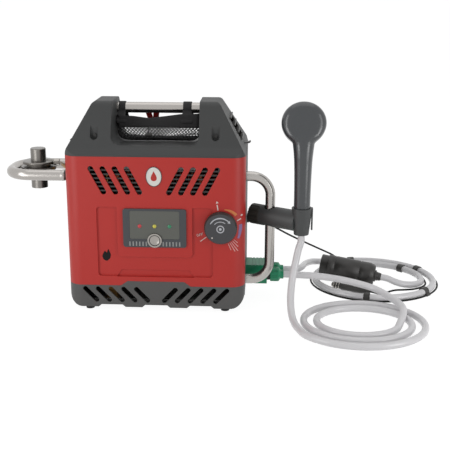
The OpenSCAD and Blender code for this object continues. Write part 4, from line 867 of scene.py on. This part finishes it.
# marks round the knob, the arrow, ring and dot on its face, and OFF
def buildDial(k):
    m = k["middle"]

    def knobFace(x, z):
        return np.full(np.shape(x), k["front"])

    onKnob = (knobFace, "temp_knob", "knobPrint")
    onPanel = (panelFace, "heater")
    white = (*onPanel, "printWhite")
    arcMark("knobArrowArc", m, ([0.0208, 0.0204, 0.0208], [0.0226, 0.0230, 0.0226]), (-62, 48), *onKnob)
    flatMark("knobArrowTip", [polar(m, 46, 0.0186), polar(m, 60, 0.0222), polar(m, 46, 0.0250)], *onKnob)
    arcMark("knobArcInner", m, ([0.0140] * 2, [0.0154] * 2), (-50, 38), *onKnob)
    flatMark("knobDot", discOutline(polar(m, 222, 0.0235), 0.0015), knobFace, "temp_knob", "printWhite")
    arcMark("knobRing", m, ([0.0056] * 2, [0.0076] * 2), (0, 359.9), *onKnob, steps=48)
    flatMark("knobMiddle", discOutline(m, 0.0026), *onKnob)

    arcMark("dialWarm", m, ([0.0350] * 2, [0.0366, 0.0400, 0.0412]), (11, 51), *onPanel, "printOrange")
    arcMark("dialHot", m, ([0.0350, 0.0350, 0.0385], [0.0412, 0.0412, 0.0426]), (83, 124), *onPanel,
            "printViolet")
    barMark("dialStart", m, -9, (0.0340, 0.0450), (0.0022, 0.0022), *white)
    flatMark("dialArrow", [polar(m, -11.5, 0.0476), polar(m, -5, 0.0482), polar(m, -8.5, 0.0525)], *white)
    barMark("dialTick", m, 67.5, (0.0340, 0.0420), (0.0022, 0.0022), *white)
    flatMark("dialDot", discOutline(polar(m, 60, 0.0460), 0.0019), *white)
    fan = [(134, 0.0455), (139.5, 0.0520), (145, 0.0585), (150, 0.0560), (156, 0.0500)]
    for i, (angle, far) in enumerate(fan):
        barMark(f"dialFan{i + 1}", m, angle, (0.0350, far), (0.0011, 0.0017), *onPanel, "printPink")
    barMark("dialStop", m, 233, (0.0350, 0.0500), (0.0015, 0.0015), *white)
    place = polar(m, 248, 0.0440)
    for i, letter in enumerate("OFF"):
        at = (place[0] + 0.0041 * (i - 1), place[1] + 0.0013 * (i - 1))
        buildLetter(f"dialOff{i + 1}", letter, at, 0.0052)


# a generic capital, drawn with bars and a ring
def buildLetter(name, letter, at, high):
    bold = high * 0.22
    if letter == "O":
        t = circle(28)
        r = np.array([0.36, 0.36, 0.5, 0.5]) * high
        x, z = at[0] + 0.72 * r * np.sin(t)[:, None], at[1] + r * np.cos(t)[:, None]
        y = panelFace(x, z) - np.array([-0.3, 1, 1, -0.3]) * markThick
        loopGrid(name, np.stack([x, y, z], -1), "heater", "printWhite", smooth=False)
        return
    left = at[0] - high * 0.26
    for part, (height, wide) in {"Stem": (0.0, 0.0), "Top": (0.5, 0.58), "Bar": (0.06, 0.46)}.items():
        if part == "Stem":
            low, top, right = at[1] - high / 2, at[1] + high / 2, left + bold
        else:
            top = at[1] + high * height
            low, right = top - bold, left + high * wide
        flatMark(name + part, [(left, low), (right, low), (right, top), (left, top)], panelFace, "heater",
                 "printWhite")


buildDial(knob)
print("knob and dial built")


# the closed outline of a rectangle with round corners, evenly spaced, starting at (half width, 0)
def roundedLoop(half, radius, count):
    a = circle(240)
    c = np.round(np.stack([np.cos(a), np.sin(a)], -1), 9)
    p = np.sign(c) * (np.asarray(half) - radius) + radius * c
    p = np.concatenate([p, p[:1]])
    run = distanceAlong(p)
    at = np.linspace(0, run[-1], count, endpoint=False)
    return np.stack([np.interp(at, run, p[:, 0]), np.interp(at, run, p[:, 1])], -1)


# P(s, k) = route(s) + wide(s) cos a across + thick sin a square to both
def ribbon(name, route, wide, thick, across, body, finish):
    tangent = unit(np.gradient(route, axis=0))
    across = np.array(across, float)
    across = unit(across - tangent * (tangent @ across)[:, None])
    square = np.cross(tangent, across)
    a = circle(16)
    u, v = squared(np.cos(a), 6), squared(np.sin(a), 6)
    wide = np.broadcast_to(np.asarray(wide, float), (len(route),))[:, None]
    grid = (route[:, None] + (wide * u / 2)[..., None] * across[:, None]
            + (thick * v / 2)[:, None] * square[:, None])
    run = distanceAlong(route)
    uv = np.stack(np.broadcast_arrays(run[:, None], wide * u / 2), -1)
    return closedGrid(name, grid, body, finish, uv)


pouch = {
    "half": mm((81.5, 27)),              # half width and half depth
    "corner": 0.007,
    "round": 0.019,                      # of its bottom edges
    "floor": 0.3282,
    "netTop": 0.3585,
    "cell": 0.0070,
    "thread": 0.0016,
    "liner": 0.3335,                     # its closed lower part ends there
    "across": mm((-82, -50, -19, 20, 45, 82)),
    "frontTop": mm((380, 379, 375, 380, 383.5, 384.5)),
    "frontLow": 0.357,
    "rear": mm((347, 361)),
    "bar": (0.0, 0.392, 0.01075),        # y, height and radius of the bar it hangs from
    "loops": {"Left": mm((-74, 18)), "Right": mm((56, 22.8))},
    "tapes": {"One": mm((-25, -20)), "Two": mm((-8, -12))},
}


# P(i, j): rings of a rounded box going down and in, of which every other crossing is a knot of the net
def buildPouchNet(p):
    turn = np.linspace(0, math.pi / 2, 13)
    low = p["floor"] + p["round"]
    inset = np.concatenate([[0], p["round"] * (1 - np.cos(turn)), [p["half"][1] - 0.0012]])
    height = np.concatenate([[p["netTop"]], low - p["round"] * np.sin(turn), [p["floor"]]])
    run = np.concatenate([[0], np.cumsum(np.hypot(np.diff(inset), np.diff(height)))])
    rows = int(round(run[-1] / (p["cell"] / 2))) // 2 * 2 + 1
    at = np.linspace(0, run[-1], rows)
    columns = int(round(4 * sum(p["half"]) / (p["cell"] / 2))) // 2 * 2
    grid = np.zeros((rows, columns, 3))
    for i, (d, z) in enumerate(zip(np.interp(at, run, inset), np.interp(at, run, height))):
        half = p["half"] - d
        grid[i, :, :2] = roundedLoop(half, min(p["corner"], 0.9 * half[1]), columns)
        grid[i, :, 2] = z
    i, j = np.meshgrid(np.arange(rows - 2), np.arange(columns), indexing="ij")
    keep = (i + j) % 2 == 0
    i, j = i[keep], j[keep]
    faces = np.stack([i * columns + j, (i + 1) * columns + (j - 1) % columns, (i + 2) * columns + j,
                      (i + 1) * columns + (j + 1) % columns], -1)
    used, faces = np.unique(faces, return_inverse=True)
    net = newPiece("pouchNet", grid.reshape(-1, 3)[used], [faces.reshape(-1, 4)], "heater", "netThread",
                   smooth=False)
    threads = net.modifiers.new("threads", "WIREFRAME")
    threads.thickness = p["thread"]
    threads.use_boundary = True
    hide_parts("pouch", "pouch_straps")

    rings = []
    for t in turn[turn > math.asin((low - p["liner"]) / p["round"])]:
        half = p["half"] - 0.0008 - p["round"] * (1 - math.cos(t))
        loop = roundedLoop(half, min(p["corner"], 0.9 * half[1]), 160)
        rings.append(np.concatenate([loop, np.full((160, 1), low + 0.0008 - p["round"] * math.sin(t))], 1))
    closedGrid("pouchLiner", np.array(rings), "heater", "netThread")


# P(s, k): a band of webbing round the pouch, higher in front than behind
def buildPouchBand(p):
    loop = roundedLoop(p["half"], p["corner"], 180)
    behind = smoothStep(loop[:, 1], -0.022, 0.026)
    top = np.interp(loop[:, 0], p["across"], p["frontTop"]) * (1 - behind) + p["rear"][1] * behind
    low = p["frontLow"] * (1 - behind) + p["rear"][0] * behind
    a = circle(20)
    out, up = squared(np.cos(a), 5) * 0.0009, squared(np.sin(a), 5)
    away = np.stack([np.gradient(loop[:, 1]), -np.gradient(loop[:, 0])], -1)
    away /= np.linalg.norm(away, axis=1, keepdims=True)
    flat = loop[:, None] + out[None, :, None] * away[:, None]
    z = (top + low)[:, None] / 2 + (top - low)[:, None] / 2 * up
    run = np.linspace(0, 4 * sum(p["half"]), len(loop))
    uv = np.stack(np.broadcast_arrays(run[:, None], z), -1)
    loopGrid("pouchBand", np.concatenate([flat, z[..., None]], -1), "heater", "blackWebbing", uv)


def buildPouchLoops(p):
    y, z, r = p["bar"]
    r += 0.0011
    a = np.radians(np.linspace(200, -20, 23))
    over = np.stack([y + r * np.cos(a), z + r * np.sin(a)], -1)
    ends = mm([(-28.2, 365), (-28, 371)]), mm([(27.6, 361), (28.2, 352)])
    line = np.concatenate([ends[0], over, ends[1]])
    for name, (x, wide) in p["loops"].items():
        route = smoothRoute(np.concatenate([np.full((len(line), 1), x), line], 1), 0.002)
        width = wide * (0.74 + 0.26 * np.clip((z - route[:, 2]) / 0.024, 0, 1))
        ribbon("pouchLoop" + name, route, width, 0.0014, (1.0, 0, 0), "heater", "blackWebbing")
    for name, (x, to) in p["tapes"].items():
        route = smoothRoute([
            (x, 0.0080, z - 0.0068), (x, 0.0100, z - 0.0085), ((x + to) / 2, 0.0175, z - 0.020),
            (to, 0.0262, 0.3585), (to, 0.0272, 0.350)], 0.002)
        # the tape's finish carries painted light: it is brighter than its red, to make up for the shade of the
        # band and bar
        ribbon("pouchTape" + name, route, 0.0118, 0.0009, (1.0, 0, 0), "heater", "redTapeAndLight")
    cord = smoothRoute(
        mm([(-19.5, -28.6, 356), (-19, -29.2, 350), (-19, -29.4, 342), (-18.6, -28.6, 334)]), 0.001)
    tubeAlong("pouchCord", cord, 0.0011, "heater", "netThread", sides=10)
    turned("pouchToggle", mm([(2.6, 0), (3.9, 0.5), (4.3, 1.6), (4.3, 12.4), (3.9, 13.5), (2.6, 14)]),
           mm((-26, -30.2, 342)), (1, 0, 0), "heater", "blackMoulded", sides=40)


buildPouchNet(pouch)
buildPouchBand(pouch)
buildPouchLoops(pouch)
print("pouch hung")


display = {
    "front": -0.116,
    "label": -0.1156,
    "lights": {"Red": (-0.029, "redLight"), "Yellow": (0.0, "yellowLight"), "Green": (0.029, "greenLight")},
    "lightHeight": 0.1785,
    "button": 0.1503,                    # height of the power button's middle
    "buttonDome": (-0.143, 0.027),       # y of its face's middle of curve, and radius
    # radius of a dark ring of painted shade where the power button's groove is
    "shadeRing": 0.0101,
    "bars": mm((16.5, 48.5)),
    "barHeight": mm((138.5, 147.5)),
}


def buildDisplay(d):
    dome = mm([(2.1, -3.2), (2.1, 0), (3.8, 0), (3.85, 0.35), (3.6, 0.8), (3.1, 1.25), (2.4, 1.6), (1.4, 1.9),
               (0.4, 2.0)])
    for name, (x, finish) in d["lights"].items():
        light = turned("light" + name, dome, (x, d["label"], d["lightHeight"]), (0, -1, 0), "heater", finish,
                       sides=32)
        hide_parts("status_lights")
    for side in (-1, 1):
        for i in range(6):
            x = side * (d["bars"][0] + i * (d["bars"][1] - d["bars"][0]) / 5)
            z = np.linspace(d["barHeight"][0], d["barHeight"][1], 6)
            left, right = (np.stack([np.full_like(z, x + e * 0.00125), z], -1) for e in (-1, 1))
            name = f"bar{'Left' if side < 0 else 'Right'}{i + 1}"
            stripMark(name, left, right, lambda x, z: 0 * x + d["front"], "heater", "printGrey")
    # painted shade: a thin dark ring laid on the button's dish stands in for the shade in its groove
    a, t = circle(64)[:, None], circle(12)
    ring = d["shadeRing"] + 0.0006 * np.cos(t)
    middle, r = d["buttonDome"]
    y = middle + np.sqrt(r ** 2 - ring ** 2) - 0.00022 * np.sin(t)
    shadeRing = np.stack(np.broadcast_arrays(ring * np.cos(a), y, d["button"] + ring * np.sin(a)), -1)
    loopGrid("buttonGrooveShade", shadeRing, "power_button", "paintedShadeDark")


buildDisplay(display)


# a water drop on the badge: a round foot and a pointed top, width(t) = r sin t (sin(t / 2)) ** power
def buildBadge(middle, front, half):
    t = circle(60) + math.pi / 60
    x = middle[0] + 1.05 * half * np.sin(t) * np.abs(np.sin(t / 2)) ** 1.5
    z = middle[1] + half * 1.25 * np.cos(t) + half * 0.15
    flatMark("badgeDrop", np.stack([x, z], -1), lambda x, z: 0 * x + front, "heater", "redEnamel",
             "red_shell")
    rim = circle(120)[:, None]
    k = circle(12)
    wide = 1 + 0.035 * np.cos(k)
    edge = np.stack(np.broadcast_arrays(
        middle[0] + 0.0149 * wide * np.cos(rim), front - 0.0003 - 0.0005 * np.sin(k),
        middle[1] + 0.0189 * wide * np.sin(rim)), -1)
    loopGrid("badgeRim", edge, "heater", "glossGrey")


buildBadge((0.0, 0.276), -0.1136, 0.0078)
print("display and badge built")


# its case in rounded steps with grooves, dark discs of painted shade for the strainer holes in its end, and a
# stepped barb
def buildPumpShell(p):
    foot, way, long = p["ends"][0], p["way"], p["length"] * 1000
    profile = mm([
        (14, 0.0), (22, 0.0), (23.4, 0.5), (24, 1.8), (24, 15.2), (24.6, 15.9), (25.6, 16), (26, 16.6), (26, 30),
        (25.2, 30.4), (25.2, 32.2), (26, 32.6), (26, long - 34), (25.1, long - 33.4), (25.1, long - 31.4),
        (26, long - 31), (26, long - 11), (25.4, long - 8.6), (23.6, long - 4), (21.6, long - 0.8),
        (20.4, long), (14, long)])
    shell = turned("pumpShell", profile, foot, way, "heater", "pumpBlack", sides=96)
    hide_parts("pump_body")
    side = unit(np.cross(way, (0, 0, 1.0)))
    over = np.cross(side, way)
    # painted shade: flat dark discs on its end stand in for the shade inside the strainer holes
    for i, a in enumerate(circle(p["inlets"])):
        place = foot + p["inletsOut"] * (math.cos(a) * side + math.sin(a) * over) + way * 0.0003
        turned(f"pumpHoleShade{i + 1}", mm([(1.0, 0), (2.5, 0), (2.5, 0.5), (1.0, 0.6)]), place, -way, "heater",
               "paintedShadeDark", sides=24)
    tip = p["nozzle"] * 1000
    barb = mm([(6, -1), (12, -1), (12.4, 0), (12.4, 2.6), (11.6, 3.6), (9.2, 4.2), (9.4, 5.2), (9.7, 6.8),
               (8.6, 7.4), (8.6, 8.6), (9.2, 10.6), (8.1, 11.2), (8.1, tip - 0.6), (7.6, tip), (6, tip)])
    nozzle = turned("pumpBarb", barb, p["ends"][1], way, "heater", "pumpBlack", sides=64)
    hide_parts("pump_nozzle")


def buildPlugTip(p):
    foot, way = p["ends"][0], p["way"]
    turned("plugTip", mm([(2, -0.4), (4.2, -0.3), (4.7, 0.4), (5.7, 4.2), (6.0, 4.6), (2, 4.8)]), foot, way,
           "heater",
           "brightMetal", sides=48)
    ring = mm([(5, -1.3), (6.9, -1.2), (7.3, -0.7), (7.3, 0.7), (6.9, 1.2), (5, 1.3)])
    for i in range(p["rings"]):
        at = foot + way * (0.0055 + p["ringStep"] * i)
        turned(f"plugRing{i + 1}", ring, at, way, "heater", "brightMetal", sides=48)


buildPumpShell(pump)
buildPlugTip(plug)


pinAt = (-0.2495, -0.003)                # x and y of the regulator's middle line
brassFrom = -0.200                       # x where the swivel turns from steel to brass


# the gas regulator's inlet pin, and the swivel's two metals: steel, with brass where it meets the case
def buildGasParts():
    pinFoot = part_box("regulator")[0][2] - 0.004
    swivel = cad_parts["gas_swivel"].data
    x = np.array([p.center[0] for p in swivel.polygons])
    swivel.materials.append(finishes["brightMetal"])
    swivel.polygons.foreach_set("material_index", np.where(x < brassFrom, len(swivel.materials) - 1, 0))
    swivel.update()
    turned("inletPin", mm([(0.8, 12), (2.2, 12), (2.25, 1.2), (1.9, 0.3), (0.8, 0)]),
           (*pinAt, pinFoot), (0, 0, 1), "gas_arm", "brass", sides=32)


buildGasParts()
print("pump, plug and gas parts built")


# 1 for a ray from the camera, from a reflection or through glass
def seenRays(tree):
    path = addNode(tree, "ShaderNodeLightPath")
    value = path.outputs["Is Camera Ray"]
    for kind in ("Is Glossy Ray", "Is Transmission Ray"):
        larger = addNode(tree, "ShaderNodeMath", operation="MAXIMUM")
        join(tree, (value, larger.inputs[0]), (path.outputs[kind], larger.inputs[1]))
        value = larger.outputs[0]
    return value


# white paper: it keeps the shadow, and shows the background's white to the camera, in reflections and
# through glass
def buildStage():
    side, under = 30.0, 0.0002
    corners = [(-side, -side, -under), (side, -side, -under), (side, side, -under), (-side, side, -under)]
    mesh = bpy.data.meshes.new("floor")
    mesh.from_pydata(corners, [], [(0, 1, 2, 3)])
    floor = bpy.data.objects.new("floor", mesh)
    bpy.context.scene.collection.objects.link(floor)
    material = bpy.data.materials.new("floorPaper")
    material.use_nodes = True
    tree = material.node_tree
    tree.nodes.clear()
    out = addNode(tree, "ShaderNodeOutputMaterial")
    paper = addNode(tree, "ShaderNodeBsdfDiffuse", {"Color": (0.9, 0.9, 0.9, 1)})
    white = addNode(tree, "ShaderNodeEmission", {"Color": (1, 1, 1, 1), "Strength": 1.18})
    share = addNode(tree, "ShaderNodeMath", {1: 0.80}, operation="MULTIPLY")
    mix = addNode(tree, "ShaderNodeMixShader")
    join(
        tree,
        (seenRays(tree), share.inputs[0]), (share.outputs[0], mix.inputs[0]),
        (paper.outputs[0], mix.inputs[1]),
        (white.outputs[0], mix.inputs[2]), (mix.outputs[0], out.inputs["Surface"]),
    )
    mesh.materials.append(material)

    world = bpy.data.worlds.new("studio")
    world.use_nodes = True
    tree = world.node_tree
    background = tree.nodes["Background"]
    level = addNode(tree, "ShaderNodeMapRange", {"To Min": 0.36, "To Max": 1.0})
    join(
        tree,
        (seenRays(tree), level.inputs["Value"]), (level.outputs["Result"], background.inputs["Strength"]),
    )
    background.inputs["Color"].default_value = (1, 1, 1, 1)
    bpy.context.scene.world = world


buildStage()

lamps = {
    "key": {"place": (-2.5, -2.1, 1.3), "aim": (0.1, 0, 0.2), "size": (0.7, 2.4), "power": 17},
    "fill": {"place": (2.9, -2.0, 1.2), "aim": (0.1, 0, 0.2), "size": (0.7, 2.4), "power": 12},
    "lowLeft": {"place": (-0.62, -0.72, 0.24), "aim": (0.28, -0.09, 0.22),
                "size": (0.45, 0.46), "power": 1.5},
    "lowRight": {"place": (1.02, -0.66, 0.24), "aim": (0.28, -0.09, 0.22),
                 "size": (0.45, 0.46), "power": 1.6},
    "top": {"place": (0.1, 0.2, 2.6), "aim": (0.1, 0, 0), "size": (2.4, 2.0), "power": 9},
}


def buildLamps(lamps):
    for name, lamp in lamps.items():
        light = bpy.data.lights.new(name, "AREA")
        light.shape = "RECTANGLE"
        light.size, light.size_y = lamp["size"]
        light.energy = lamp["power"]
        carrier = bpy.data.objects.new(name, light)
        back = unit(np.array(lamp["place"], float) - lamp["aim"])
        side = unit(np.cross((0, 0, 1), back)) if abs(back[2]) < 0.99 else np.array([1.0, 0, 0])
        turn = Matrix([list(row) for row in np.stack([side, np.cross(back, side), back], 1)]).to_4x4()
        carrier.matrix_world = Matrix.Translation(lamp["place"]) @ turn
        bpy.context.scene.collection.objects.link(carrier)


buildLamps(lamps)
print("stage and lamps set")
